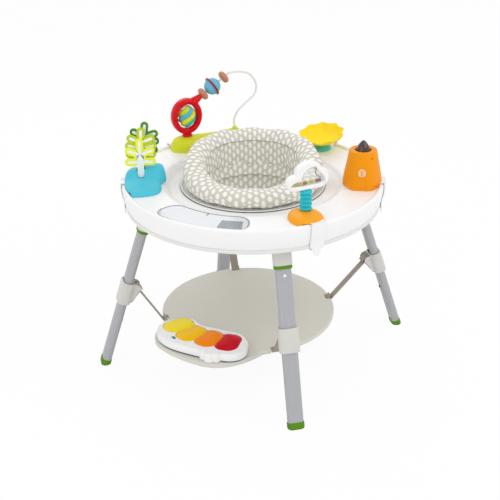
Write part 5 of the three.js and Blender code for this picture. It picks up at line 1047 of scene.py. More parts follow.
def seam_cord(first, last):
    """A cord laid in the fold along the bolster's seam, between two angles; its ends dip into the cloth."""
    steps = np.arange(int(BOLSTER_STEPS * first / 360), int(BOLSTER_STEPS * last / 360))
    line, middle = bolster_rows[SEAM_ROW, steps], bolster_rows[:, steps].mean(0)
    ends = np.clip(np.minimum(np.arange(len(steps)), np.arange(len(steps))[::-1]) / 6, 0, 1)
    sink = (middle - line) / np.linalg.norm(middle - line, axis=1, keepdims=True)
    line = line + sink * (0.1 + 5 * (1 - ends[:, None]))
    side = np.cross(headings(line), sink)
    cord = ellipse(1.7, 1.7, 8)
    return skin(line[:, None] + cord[None, :, :1] * side[:, None] + cord[None, :, 1:] * sink[:, None])


piece("bolster_piping", [seam_cord(108, 252)], PIPING, "seat")
SLING_DROP = 150
SLING_RADIUS = 154
SLING_WALL = 5
BACK_PANEL_DROP = 24


def sling_points():
    """A bucket: its outer side from the rim down to the middle, then its inner side back up, with soft folds. At
    the back its wall comes in under the bolster for the depth of the back panel and steps out at the seam."""
    shares = curve_through([(1, 0), (0.985, 0.25), (0.94, 0.5), (0.84, 0.74), (0.62, 0.92), (0.32, 0.99)], 64, False)
    angle = np.linspace(0, 2 * np.pi, 224, endpoint=False)[None, :]
    facing = SEAT_FACING + np.degrees(angle)
    spread, down = shares[:, :1], shares[:, 1:]
    ease = smooth((1 - np.cos(angle)) / 2)
    fold = 2 * spread * np.cos(8 * angle)
    base = SLING_RADIUS * (spread - 0.34 * down * spread)
    below = (SLING_DROP - SLING_WALL) * down
    panel = 12 * ease * (1 - smooth(np.clip((below - BACK_PANEL_DROP) / 4, 0, 1)))
    outer = polar(base + fold, facing, flange_top - SLING_WALL - below)
    inner = polar(base - SLING_WALL + fold - panel, facing, flange_top - below)
    lip = [polar(150 - 10.5 * ease, facing, flange_top + 14 * ease),
           polar(151.5 - ease, facing, flange_top + 12 * ease)]
    rim = [polar(radius, facing, flange_top - drop)
           for radius, drop in ((153, 0), (170, 0.2), (188, 0.3), (189.2, 2.5), (188, 5))]
    floor_in, floor_out = (polar(1.0, facing, outer[-1, 0, 2] + up) for up in (4, -1.5))
    return np.concatenate([floor_in, inner[::-1], *lip, *rim, outer, floor_out])


sling_rows = sling_points()
sling = piece("sling_bucket", [skin(sling_rows, places=cloth_places(sling_rows, 140))], CLOTH, None, ["seat_sling"],
              180)
for hand in (-1, 1):
    hole_place = turn_z(SEAT_FACING + 38 * hand) @ offset(0, 0, flange_top - SLING_DROP + 62) @ ALONG_X
    carve(sling, moved(slab(ellipse(92, 104, 48), 20, 196, 2), hole_place))
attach(sling, "seat")


# Clips: an arm fixed to each toy's base and a flap hinged on it
TOY_ANGLES = {"beads": 118, "bowl": 35, "tower": -22, "cloud": -77, "tree": 172}
CLIP_WIDTH = 42
CLIP_THICKNESS = 3.2
CLIP_GAP = 0.8
BARREL_RADIUS = 2.6
BARREL_OUT = 381.43
BARREL_UP = 560.07
TAB_WIDTH = 22
HOOK_Z = bottom_z - 1.6
TAB_Z = HOOK_Z - 20 - CLIP_THICKNESS / 2


def flap_shapes():
    """A strip carried down the skirt. Its middle keeps to the skirt's radius and its width eases from full to
    the tab's and closes on a half ellipse; a hook turns in under the skirt and a barrel closes the top."""
    z = np.concatenate([np.linspace(BARREL_UP - 1, HOOK_Z + 8, 16), np.linspace(HOOK_Z + 6, HOOK_Z - 4, 8),
                        TAB_Z + 13 - 13 * np.sin(np.linspace(0.1, np.pi / 2 - 0.04, 12))])
    radius = np.where(z < seam_z + 3, lip_radius, skirt_radius(np.maximum(z, seam_z)))
    radius = np.convolve(np.pad(radius, 2, "edge"), np.ones(5) / 5, "valid") + CLIP_GAP + CLIP_THICKNESS / 2
    radius[0] = BARREL_OUT
    share = np.clip((HOOK_Z + 6 - z) / 9, 0, 1)
    width = CLIP_WIDTH + (TAB_WIDTH - CLIP_WIDTH) * smooth(share)
    width *= np.sqrt(1 - np.clip((TAB_Z + 13 - z) / 13.3, 0, 1) ** 2)
    section = rounded_box(CLIP_THICKNESS, 1, 0.04, 4, 2)
    section[:, 0] *= np.where(np.abs(section[:, 1]) > 0.47, 0.72, 1)
    strip = ribbon(np.stack([radius, np.zeros(len(z)), z], -1), section, width=width)
    hook = slab(rounded_box(8.4, 40, 1.5, 3, 2), 0, CLIP_THICKNESS, 0.8, 3)
    barrel = moved(capsule(CLIP_WIDTH, BARREL_RADIUS), offset(BARREL_OUT, -CLIP_WIDTH / 2, BARREL_UP) @ ALONG_Y)
    return [strip, shifted(hook, lip_radius - 1.4, 0, HOOK_Z - CLIP_THICKNESS), barrel]


def arm_shape():
    """The arm's side outline, hollowed round the barrel, given its width and upright."""
    turn = np.radians(np.linspace(170, 92, 8))
    seat = np.stack([BARREL_OUT + 3 * np.cos(turn), BARREL_UP + 3 * np.sin(turn)], -1)
    low = TABLE_HEIGHT + CLIP_GAP
    outline = np.vstack([[(329.4, toy_floor), (362.6, toy_floor), (364, toy_floor + 1.4), (364, low), (377.6, low)],
                         seat, [(BARREL_OUT, low + CLIP_THICKNESS), (331, low + CLIP_THICKNESS), (329.4, low + 1.6)]])
    return moved(slab(outline, -CLIP_WIDTH / 2, CLIP_WIDTH / 2, 0.5, 3), UPRIGHT)


for toy, degrees in TOY_ANGLES.items():
    piece(f"flap_{toy}", [moved(shape, turn_z(degrees)) for shape in flap_shapes()], WHITE_TOY, f"clip_{toy}",
          [f"clip_{toy}"], 40)
    piece(f"arm_{toy}", [moved(arm_shape(), turn_z(degrees))], WHITE_TOY, "frame", ())


# The low parts of the toys keep inside this radius
deck_limit = deck_edge - 2.2


def toy_frame(radius, degrees):
    """The frame of a toy: its origin on the deck, X outward, Y round the table and Z up."""
    return turn_z(degrees) @ offset(radius, 0, toy_floor)


def kept_off_rim(shape, over):
    """Pulls points in to the deck's edge where they are low, and lets them out by a distance once above the rim."""
    points, *faces = shape
    share = np.clip((points[:, 2] - TABLE_HEIGHT - 0.4) / 1.2, 0, 1)
    limit = deck_limit + over * share
    flat = points[:, :2] * np.minimum(1, limit / np.maximum(np.linalg.norm(points[:, :2], axis=1), 1))[:, None]
    return (np.column_stack([flat, points[:, 2]]), *faces)


# Bead toy
LOOP_RADIUS = 330
WIRE_FOOT_RADIUS = 336
WIRE_FOOT_X = 183.7
RIDGE_HEIGHT = 42
RIDGE_WIDTH = 80
LOOP_WIDTH = 100
LOOP_HEIGHT = 113
LOOP_BAND = 18
LOOP_DEPTH = 28
LOOP_MIDDLE = (18, 64)
WIRE_RADIUS = 3.5
WIRE_SLOPE = math.radians(31)
HORN_ANGLE = math.radians(54)
HORN_LENGTH = 30
bead_degrees = TOY_ANGLES["beads"]
foot_degrees = bead_degrees - math.degrees(math.acos(
    (LOOP_RADIUS ** 2 + WIRE_FOOT_RADIUS ** 2 - WIRE_FOOT_X ** 2) / (2 * LOOP_RADIUS * WIRE_FOOT_RADIUS)))
loop_place = polar(LOOP_RADIUS, bead_degrees)
foot_place = polar(WIRE_FOOT_RADIUS, foot_degrees)
bead_turn = math.degrees(math.atan2(*(foot_place - loop_place)[1::-1]))
bead_frame = offset(loop_place[0], loop_place[1], toy_floor + RIDGE_HEIGHT) @ turn_z(bead_turn)
wire_tilt = Matrix.Rotation(math.pi / 2 - WIRE_SLOPE, 4, "Y")
# Along the ridge, and its width and height there, as shares
RIDGE_STATIONS = [(-0.012, 0.02, 0.02), (0, 0.22, 0.3), (0.018, 0.46, 0.5), (0.04, 0.66, 0.74), (0.1, 0.92, 0.96),
                  (0.18, 1, 1), (0.28, 0.92, 0.95), (0.38, 0.75, 0.86), (0.5, 0.58, 0.8), (0.63, 0.48, 0.8),
                  (0.75, 0.42, 0.86), (0.85, 0.36, 0.93), (0.92, 0.32, 0.96), (0.96, 0.27, 0.88), (0.985, 0.2, 0.66),
                  (1, 0.12, 0.4), (1.006, 0.02, 0.02)]


def ridge_shape():
    """Arches across the rim, cos by sin to the power 0.7, whose width and height follow the stations."""
    along, wide, high = np.split(curve_through(RIDGE_STATIONS, 110, False), 3, axis=1)
    start = bead_degrees + math.degrees(34 / LOOP_RADIUS)
    end = foot_degrees - math.degrees(23.5 / WIRE_FOOT_RADIUS)
    reach = (start - bead_degrees) / (start - end)
    radius = LOOP_RADIUS + (WIRE_FOOT_RADIUS - LOOP_RADIUS) * np.clip((along - reach) / (1 - reach), 0, 1)
    turn = np.linspace(0, np.pi, 30)[None, :]
    across = np.cos(turn) * RIDGE_WIDTH / 2 * wide
    up = np.sin(turn) ** 0.7 * (RIDGE_HEIGHT - 0.2) * high
    under = np.linspace(-1, 1, 8)[None, 1:-1] * RIDGE_WIDTH / 2 * wide
    across = np.concatenate([across, under], 1)
    up = np.concatenate([up, 0 * under], 1)
    return skin(polar(np.minimum(radius + across, deck_limit), start + (end - start) * along, toy_floor + up))


piece("bead_ridge", [ridge_shape()], LIME, "frame", ["bead_base"], 60)


def on_wire(distance):
    """A point that distance along the straight of the wire from the horn's tip."""
    far = HORN_LENGTH + distance
    x = LOOP_MIDDLE[0] + LOOP_WIDTH / 2 * math.cos(HORN_ANGLE) - LOOP_BAND / 4
    z = LOOP_MIDDLE[1] + LOOP_HEIGHT / 2 * math.sin(HORN_ANGLE) - LOOP_BAND / 4
    return np.array([x + math.cos(WIRE_SLOPE) * far, 0, z + math.sin(WIRE_SLOPE) * far])


def wire_frame(distance):
    """The frame at a place on the wire, with Z along it."""
    return bead_frame @ offset(*on_wire(distance)) @ wire_tilt


def loop_shapes():
    """An oval band with fully rounded edges, a flared neck under it and a tapered horn for the wire."""
    outer = ellipse(LOOP_WIDTH, LOOP_HEIGHT, 120) + LOOP_MIDDLE
    inner = ellipse(LOOP_WIDTH - 2 * LOOP_BAND, LOOP_HEIGHT - 2 * LOOP_BAND, 120) + LOOP_MIDDLE
    ring = moved(band(outer, inner, -LOOP_DEPTH / 2, LOOP_DEPTH / 2, 8.2, 7), UPRIGHT)
    heights = np.linspace(0.3, 22, 10)
    flare = 3.2 * (1 - (1 - heights / 22) ** 3) - 1.6
    neck = shifted(skin(raised(rounded_box(28, 21, 7, 6, 3), flare, heights)), LOOP_MIDDLE[0])
    horn_line = eased([(0.05, -34), (16, -34), (11.5, -16), (8.6, -1), (0.05, -0.2)], [0, 4, 8, 2, 0], 6, False)
    horn = moved(revolved(horn_line, 40), offset(*on_wire(0)) @ wire_tilt)
    return [moved(shape, bead_frame) for shape in (ring, neck, horn)]


piece("spinner_ring", loop_shapes(), RED_GLOSS, "frame", ["spinner_loop"])
SPINNER_RADIUS = 27.5
SPINNER_HEIGHT = 70
SPINNER_TWIST = -140
SPINNER_LOBES = 5


def spinner_shape():
    """An egg of five lobes. Its radius swells by a ninth with the cosine of five turns, twisted with the height."""
    up = -np.cos(np.pi * (np.arange(48) + 0.5) / 48)[:, None]
    angle = 360 * np.arange(160)[None, :] / 160
    phase = np.radians(SPINNER_LOBES * (angle + SPINNER_TWIST * up))
    wave = np.cos(phase) - 0.25 * (np.cos(2 * phase) + 1)
    spread = SPINNER_RADIUS * np.sqrt(1 - up * up) * (1 + 0.09 * wave)
    return shifted(skin(polar(spread, angle, up * SPINNER_HEIGHT / 2)), LOOP_MIDDLE[0], 0, LOOP_MIDDLE[1])


spinner_mid = bead_frame @ Vector((LOOP_MIDDLE[0], 0, LOOP_MIDDLE[1]))
stripe_pitch = SPINNER_HEIGHT / 2 / (SPINNER_LOBES * SPINNER_TWIST / 360)
SPINNER_STRIPES = striped("twisted stripes ABS", ["#2FB8AE", "#F2F2EE", "#CBD92C", "#5DB8C9", "#DDE31F"],
                          stripe_pitch, spinner_mid.z + stripe_pitch * (SPINNER_LOBES * bead_turn / 360 - 0.5),
                          tuple(spinner_mid), SPINNER_LOBES)
spinner_pin = shifted(capsule(82, 3.4), LOOP_MIDDLE[0], 0, LOOP_MIDDLE[1] - 41)
piece("spinner_egg", [moved(spinner_shape(), bead_frame)], SPINNER_STRIPES, "spinner", ["spinner_ball"],
      60)
piece("spinner_axle", [moved(spinner_pin, bead_frame)], WHITE_TOY, "spinner", ())


def centripetal(points, steps):
    """A centripetal Catmull-Rom curve: each knot is the last one plus the square root of the span's length, and
    three rounds of straight mixing between neighbours give the point."""
    p = np.array(points, float)
    p = np.vstack([2 * p[0] - p[1], p, 2 * p[-1] - p[-2]])
    line = []
    for k in range(len(p) - 3):
        a, b, c, d = p[k:k + 4]
        lengths = np.linalg.norm(np.diff(p[k:k + 4], axis=0), axis=1)
        t0, t1, t2, t3 = np.concatenate([[0], np.cumsum(np.sqrt(lengths))])
        t = np.linspace(t1, t2, steps, endpoint=k == len(p) - 4)[:, None]
        ab = (a * (t1 - t) + b * (t - t0)) / (t1 - t0)
        bc = (b * (t2 - t) + c * (t - t1)) / (t2 - t1)
        cd = (c * (t3 - t) + d * (t - t2)) / (t3 - t2)
        abc = (ab * (t2 - t) + bc * (t - t0)) / (t2 - t0)
        bcd = (bc * (t3 - t) + cd * (t - t1)) / (t3 - t1)
        line.append((abc * (t2 - t) + bcd * (t - t1)) / (t2 - t1))
    return np.vstack(line)


# The wire's arch beyond the beads: how far out and how high, as shares
ARCH_OUT = 100
ARCH_HEIGHT = 181
ARCH = [(0.2, 0.995), (0.41, 0.987), (0.74, 0.925), (0.95, 0.79), (1.01, 0.66), (0.91, 0.525), (0.61, 0.405),
        (0.34, 0.285), (0.2, 0.14)]
arch_points = [np.array([WIRE_FOOT_X + ARCH_OUT * (out - 0.22), 0, ARCH_HEIGHT * up]) for out, up in ARCH]
wire_route = [on_wire(-11.7), on_wire(0), on_wire(56), on_wire(104), on_wire(112), *arch_points,
              np.array([WIRE_FOOT_X, 0, 0]), np.array([WIRE_FOOT_X, 0, -11.7])]
wire = ribbon(centripetal(wire_route, 10), ellipse(2 * WIRE_RADIUS, 2 * WIRE_RADIUS, 20))
piece("coated_wire", [moved(wire, bead_frame)], WIRE_COAT, "frame", ["bead_wire"], 60)
ferrule = revolved(eased([(0.05, -2), (9, -2), (8, 3), (5.5, 6), (0.05, 6.4)], [0, 1, 2, 1.5, 0], 5, False), 32)
piece("wire_ferrule", [moved(shifted(ferrule, WIRE_FOOT_X, 0, -3), bead_frame)], LIME, "frame", ())

BALL_RADIUS = 25.5
disc_profile = eased([(4, -8.5), (14.5, -8.5), (20, -3.5), (20, 3.5), (14.5, 8.5), (4, 8.5)],
                     [0.8, 3, 3.4, 3.4, 3, 0.8], 6)
for name, place in (("lower", 9.5), ("upper", 93)):
    piece(f"wood_disc_{name}", [moved(revolved(disc_profile, 56), wire_frame(place))], WOOD, f"disc_{name}",
          [f"bead_disc_{name}"])
rise = np.linspace(-1.41, 1.41, 28)
ball_arc = np.stack([BALL_RADIUS * np.cos(rise), BALL_RADIUS * np.sin(rise)], -1)
ball_profile = np.vstack([ball_arc, [(4.1, 24.2), (4.1, -24.2)]])
rim_profile = eased([(24.4, -2.5), (31, -2.5), (31, 2.5), (24.4, 2.5)], [0.5, 1.4, 1.4, 0.5], 5)
piece("bead_globe", [moved(revolved(ball_profile, 72), wire_frame(47))], SKY, "ball", ["bead_ball"])
piece("bead_rim", [moved(revolved(rim_profile, 96), wire_frame(47))], GARNET, "ball", ["bead_ring"])


# Bowl
bowl_frame = toy_frame(322, TOY_ANGLES["bowl"])
BOWL_RADIUS = 66
PETAL_COUNT = 10
PETAL_REACH = 8
BOWL_FLOOR = 21
BOWL_RISE = 29
BOWL_LEAN = 0.175


def bowl_shape():
    """A dish whose edge has ten petals, which reach out with a high power of the spread and of a cosine. It leans
    to the seat: the height gains a share of the distance outward, in step with its own rise."""
    angle = 360 * np.arange(240)[None, :] / 240
    shares = curve_through([(0.34, 0), (0.6, 0.1), (0.82, 0.34), (0.94, 0.66), (1, 1)], 22, False)
    spread, up = shares[:, :1], shares[:, 1:]
    petal = (0.5 + 0.5 * np.cos(np.radians(PETAL_COUNT * angle + 20))) ** 1.7
    reach = BOWL_RADIUS * spread + PETAL_REACH * spread ** 9 * petal
    lean = BOWL_LEAN * reach * np.cos(np.radians(angle)) * up
    outer = polar(reach, angle, BOWL_FLOOR + BOWL_RISE * up + lean)
    inner = polar(reach - 3, angle, BOWL_FLOOR + 3 + (BOWL_RISE - 3.4) * up + lean)
    rim = polar(reach[-1:] - 1.5, angle, BOWL_FLOOR + BOWL_RISE + 0.8 + lean[-1:])
    floor_out, floor_in = (polar(1.0, angle, BOWL_FLOOR + up) for up in (0, 3))
    return skin(np.concatenate([floor_out, outer, rim, inner[::-1], floor_in]))


piece("petal_bowl", [moved(bowl_shape(), bowl_frame)], BOWL_YELLOW, "bowl_turning", ["bowl"], 60)
bowl_foot = eased([(0.05, 0), (33, 0), (33, 6.3), (26.4, 11.4), (23, BOWL_FLOOR), (0.05, BOWL_FLOOR)],
                  [0, 1.2, 3, 3.5, 1.5, 0], 6, False)
piece("bowl_foot", [moved(revolved(bowl_foot, 72), bowl_frame)], TEAL, "frame", ["bowl_base"])


# Tower with its sprung top and its button
tower_frame = toy_frame(317, TOY_ANGLES["tower"] - 1.4)
TOWER_FACING = -88
TOWER_FACE = 46
TOWER_HEIGHT = 106
TOWER_MOUTH = 39
TOWER_SPREAD = 17
POPUP_RADIUS = 20.2
POPUP_LENGTH = 62
POPUP_RISE = 27
BUTTON_HEIGHT = 52
# Height, the foot's spread and the corners' depth there, as shares
TOWER_STATIONS = [(0, 1, 1), (0.02, 1, 1), (0.14, 0.97, 0.9), (0.3, 0.83, 0.68), (0.45, 0.66, 0.45),
                  (0.6, 0.48, 0.29), (0.75, 0.3, 0.15), (0.88, 0.15, 0.06), (0.965, 0.04, 0)]


def tower_shape():
    """Six soft corners at the foot, a cosine of six turns, ease into a round mouth with a bore down its middle."""
    up, foot, corner = np.split(curve_through(TOWER_STATIONS, 40, False), 3, axis=1)
    angle = 360 * np.arange(192)[None, :] / 192
    wave = -np.cos(np.radians(6 * (angle - TOWER_FACING)))
    outside = (TOWER_MOUTH + TOWER_SPREAD * foot) * (1 + 0.09 * corner * (wave - 1) / 2)
    top = TOWER_HEIGHT
    mouth = eased([(TOWER_MOUTH, top - 4), (TOWER_MOUTH, top), (23.2, top), (23.2, top - 15), (20.7, top - 15),
                   (20.7, 36), (1, 36)], [0, 2.4, 1.2, 0.6, 0.6, 1, 0], 7, False)
    return skin(np.concatenate([polar(outside, angle, top * up), polar(mouth[1:, :1], angle, mouth[1:, 1:])]))


button_frame = tower_frame @ turn_z(TOWER_FACING) @ offset(TOWER_FACE, 0, BUTTON_HEIGHT) @ ALONG_X
tower = piece("tower_shell", [moved(tower_shape(), tower_frame)], ORANGE, "frame", ["tower_body"], 40)
carve(tower, moved(shifted(capsule(34, 13.2), z=-12), button_frame))
for degrees, height, length in ((-50, 91, 9), (-44, 11, 9), (-158, 90, 7)):
    spread = np.interp(height / TOWER_HEIGHT, *np.array(TOWER_STATIONS).T[:2])
    slot_place = tower_frame @ turn_z(degrees) @ offset(0, 0, height) @ ALONG_X
    cutter = slab(rounded_box(3.2, length, 1.5, 4), 0, 80, 0.4, 3)
    carve(tower, moved(shifted(cutter, z=TOWER_MOUTH + TOWER_SPREAD * spread - 4.5), slot_place))
dome = curve_through([(1, 0.52), (0.97, 0.58), (0.88, 0.67), (0.72, 0.77), (0.5, 0.87), (0.28, 0.95), (0.12, 0.992),
                      (0.02, 1)], 36, False)
dome_profile = np.vstack([[(0.05, 0), (19.4, 0), (POPUP_RADIUS, 1)], dome * [POPUP_RADIUS, POPUP_LENGTH]])
popup = shifted(revolved(dome_profile, 72), z=TOWER_HEIGHT + POPUP_RISE - POPUP_LENGTH)
piece("sprung_dome", [moved(popup, tower_frame)], SMOKE, "popup", ["tower_popup"])
button_cap = eased([(0.05, -5), (12.5, -5), (12.5, 3.9), (0.05, 4.1)], [0, 0.5, 1.6, 0], 6, False)
button = piece("tower_push", [moved(revolved(button_cap, 56), button_frame)], PEACH, "tower_button",
               ["tower_button"])
carve(button, moved(slab(rounded_box(19, 2.6, 1.1, 3), 1.4, 9, 0.2, 2), button_frame))


# Cloud toy
cloud_frame = toy_frame(312, TOY_ANGLES["cloud"])
CLOUD_LOBES = [(-0.45, 0.22), (-0.45, 0.45), (-0.35, 0.58), (-0.27, 0.6), (-0.23, 0.82), (-0.06, 0.98), (0.12, 1),
               (0.27, 0.88), (0.33, 0.72), (0.45, 0.62), (0.5, 0.4), (0.47, 0.16), (0.36, 0.02), (0.12, 0.01),
               (-0.15, 0.02), (-0.36, 0.05)]
CLOUD_WINDOW = [(-0.35, 0.2), (-0.32, 0.3), (-0.14, 0.42), (-0.08, 0.62), (0.05, 0.77), (0.19, 0.76), (0.26, 0.6),
                (0.36, 0.42), (0.4, 0.28), (0.36, 0.18), (0, 0.16)]
CLOUD_SIZE = np.array([130.0, 78.0])
CLOUD_MIDDLE = np.array([4.0, 29.0])
DOME_HEIGHT = 22.4
BELLOWS_LENGTH = 58.4
bellows_bottom = DOME_HEIGHT - 0.4
cloud_bottom = bellows_bottom + BELLOWS_LENGTH + GAP
cloud_face = cloud_frame @ offset(0, 0, cloud_bottom) @ turn_z(90) @ UPRIGHT


def by_angle(shares):
    """A smooth outline through the points, sampled at even angles about the cloud's middle."""
    reach = curve_through(np.array(shares) * CLOUD_SIZE, 400) - CLOUD_MIDDLE
    angle = np.arctan2(reach[:, 1], reach[:, 0])
    order = np.argsort(angle)
    turn = np.linspace(-np.pi, np.pi, 180, endpoint=False)
    far = np.interp(turn, angle[order], np.linalg.norm(reach, axis=1)[order], period=2 * np.pi)
    return CLOUD_MIDDLE + far[:, None] * np.stack([np.cos(turn), np.sin(turn)], -1)


cloud_outer = by_angle(CLOUD_LOBES)
cloud_inner = by_angle(CLOUD_WINDOW)
dome_rows = curve_through([(1, 0), (0.985, 0.3), (0.88, 0.62), (0.68, 0.86), (0.42, 0.98), (0.05, 1)], 44, False)
dome_heights = DOME_HEIGHT * np.minimum(dome_rows[:, 1], 1)
dome_points = lifted(ellipse(114, 92, 96)[None] * dome_rows[:, :1, None], dome_heights)
piece("cloud_dome", [kept_off_rim(moved(shifted(skin(dome_points), 12, -6), cloud_frame), 19)], AMBER, "frame",
      ["cloud_base"], 60)

# The neck's ribs are a raised cosine, five times up its length
rib = np.linspace(0, 1, 90)
bellows_line = np.stack([11.6 + 5.4 * (0.5 - 0.5 * np.cos(2 * np.pi * 5 * rib)) ** 0.7, BELLOWS_LENGTH * rib], -1)
bellows_profile = np.vstack([[(0.05, 0)], bellows_line, [(0.05, BELLOWS_LENGTH)]])
neck = moved(shifted(revolved(bellows_profile, 64), z=bellows_bottom), cloud_frame)
bellows = piece("cloud_neck", [neck], AQUA, None, ["cloud_bellows"], 60)
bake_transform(bellows)
piece("cloud_rim", [moved(band(cloud_outer, cloud_inner, -9.5, 9.5, 4.5, 7), cloud_face)], WHITE_TOY, "cloud",
      ["cloud_frame"], 50)
pane_outline = cloud_inner + inward(cloud_inner) * 0.6
for side, depth, stands_for in (("front", 3.2, ["cloud_pane"]), ("back", -4.4, ())):
    piece(f"cloud_window_{side}", [moved(slab(pane_outline, depth, depth + 1.2, 0.4, 3), cloud_face)], CLEAR, "cloud",
          stands_for, 50)

# A row of beads, a little squeezed together and turned
BEAD_RADIUS = 4.8
BEAD_PITCH = 6.1
BEAD_COLOURS = {"leaf": LEAF_OLIVE, "orange": ORANGE, "teal": TEAL, "red": RED_GLOSS, "green": LEAF_GREEN,
                "lime": LIME, "slate": DARK_GREY_AND_SHADE}
bead_order = ["leaf", "orange", "teal", "orange", "leaf", "red", "green", "lime", "orange", "teal", "lime", "red",
              "slate", "slate"]
squeezed = turn_z(-14) @ Matrix.Diagonal((0.7, 1, 1, 1))
for name, material in BEAD_COLOURS.items():
    places = [offset(-38 + BEAD_PITCH * k, 17.5 + 0.15 * k) for k, colour in enumerate(bead_order) if colour == name]
    piece(f"cloud_beads_{name}", [moved(ball(BEAD_RADIUS, 16), cloud_face @ place @ squeezed) for place in places],
          material, "cloud", (), 60)
# A thin dark cord down the right side of the cloud's window: painted shade for the frame's inner wall there
wall_shade_line = [(24, 57), (29, 53), (27, 43), (31, 36), (38, 30), (44, 27)]
wall_shade_path = curve_through([(x, y, 1.5) for x, y in wall_shade_line], 40, False)
wall_shade_cord = ribbon(wall_shade_path, ellipse(2.4, 2.4, 10), (0, 0, 1))
piece("cloud_wall_shade_line", [moved(wall_shade_cord, cloud_face)], DARK_GREY_AND_SHADE, "cloud")


# Tree toy
tree_frame = toy_frame(322, TOY_ANGLES["tree"])
HILL_OUTLINE = [(29, 97), (-12, 99), (-44, 84), (-55.5, 52), (-54.5, 22), (-62, 4), (-70.5, -10), (-69, -29),
                (-52, -41), (-22, -42), (10, -40.5), (34, -38), (46, -22), (50.5, 4), (51, 38), (46, 70)]
HILL_SLOT_FRONT = 4.2
HILL_SLOT_FLOOR = 20.6
TRUNK_THICKNESS = 7
LEAF_THICKNESS = 6
LEAF_PITCH = 7.2
LEAF_FINGER = 22.5
LEAF_BAND = 7.2
LEAF_REACH = 86
PIN_HEIGHT = 30


def hill_shape():
    """The outline drawn in towards a point behind the slot. Each ring is lifted by a quarter of a superellipse.
    Behind the slot the ground keeps to a crest that falls outward by a tanh, in front it falls away in a slope,
    and a logistic step joins the two."""
    outline = curve_through(HILL_OUTLINE, 160)
    centre = np.array([-4.0, 14.0])
    share = np.concatenate([[1, 1], 1 - 0.97 * np.linspace(0.004, 1, 60) ** 1.4])[:, None, None]
    flat = centre + (outline - centre) * share
    distance = (1 - share[..., 0]) * np.linalg.norm(outline - centre, axis=1)[None, :]
    rise = np.maximum((1 - np.clip(1 - distance / 15, 0, 1) ** 2.2) ** 0.6, 0.22)
    x, y = flat[..., 0], flat[..., 1]
    slope = 21 - 11 * np.clip((y - 8) / 86, 0, 1)
    crest = 43.5 - 7 * np.tanh(x / 32)
    back = 1 / (1 + np.exp(np.clip((y - 4) / 4.5, -30, 30)))
    z = (slope + (crest - slope) * back) * rise
    z[0] = 0
    return skin(np.concatenate([flat, z[..., None]], -1))


hill = piece("hill", [kept_off_rim(moved(hill_shape(), tree_frame), 9)], WATER, "frame", ["tree_base"],
             50)
for width, depth, back in ((25, 18, 17.6), (19.8, 22, 1.6)):
    slot = prism(rounded_box(width, depth, 0.5, 2) + [0, HILL_SLOT_FRONT - back], HILL_SLOT_FLOOR, 90)
    carve(hill, moved(slot, tree_frame))


def side_point(root, tip, half):
    """A point on one side of a finger and the direction along it."""
    along = (tip - root) / np.linalg.norm(tip - root)
    return root + np.array([-along[1], along[0]]) * half, along


def leaf_outline(shares, height, bottom, inset, spine):
    """Fingers that leave a spine of their own width, each ending in a half circle about its tip. The sides of
    neighbours meet where their lines cross, or else they end on the spine's side, which is wider than a finger
    by the given amount."""
    half = LEAF_FINGER / 2 - inset
    trunk = half + spine

    def place(out, up):
        return np.array([LEAF_REACH * out, bottom + height * up])

    rising = [(place(0, root), place(out, up)) for root, out, up in shares]
    falling = [(place(0, root), place(-out, up)) for root, out, up in shares][::-1]
    fingers = rising + [(place(0, shares[-1][0]), place(0, 0.885))] + falling
    line = []
    for (root, tip), (next_root, next_tip) in zip(fingers, fingers[1:] + fingers[:1]):
        facing = math.atan2(tip[1] - root[1], tip[0] - root[0])
        turn = facing + np.pi * (np.linspace(0, 1, 13) - 0.5)
        line.append(tip + half * np.stack([np.cos(turn), np.sin(turn)], -1))
        (a, along_a), (b, along_b) = side_point(root, tip, half), side_point(next_root, next_tip, -half)
        far = np.cross(b - a, along_b) / np.cross(along_a, along_b)
        cross = a + along_a * far
        side_x = trunk * np.sign(tip[0])
        if tip[0] * next_tip[0] > 0 and cross[0] * np.sign(side_x) < trunk:
            cross_a = a + along_a * (side_x - a[0]) / along_a[0]
            cross_b = b + along_b * (side_x - b[0]) / along_b[0]
            line.append(np.stack([cross_a, cross_b]))
        else:
            line.append(np.stack([cross, cross]))
    return np.vstack(line)


# Each finger of a leaf: its root's height on the spine, and its tip's reach and height, as shares
FRONT_FINGERS = [(0.15, 0.384, 0.126), (0.4, 0.364, 0.547)]
REAR_FINGERS = [(0.12, 0.372, 0.111), (0.31, 0.392, 0.4), (0.51, 0.337, 0.644)]


def plain_edge(outline, half, edge):
    """A plate of a half thickness whose edges are cut back by a small chamfer."""
    return skin(raised(outline, np.array([edge, 0, 0, edge]), np.array([-half, edge - half, half - edge, half])))


def upright_bar(width, low, high, corner, steps, half, edge):
    """A bar between two heights in a leaf's frame."""
    outline = rounded_box(width, high - low, corner, steps) + [0, (high + low) / 2]
    return plain_edge(outline, half, edge)


def leaf_frame(layer, lean):
    """The frame of one leaf: upright in its layer and turned about the pin by its lean."""
    y = (LEAF_THICKNESS - TRUNK_THICKNESS) / 2 - layer * LEAF_PITCH
    turn = Matrix.Rotation(-math.radians(lean), 4, "Y")
    return tree_frame @ offset(0, y, PIN_HEIGHT) @ turn @ offset(0, 0, -PIN_HEIGHT) @ UPRIGHT


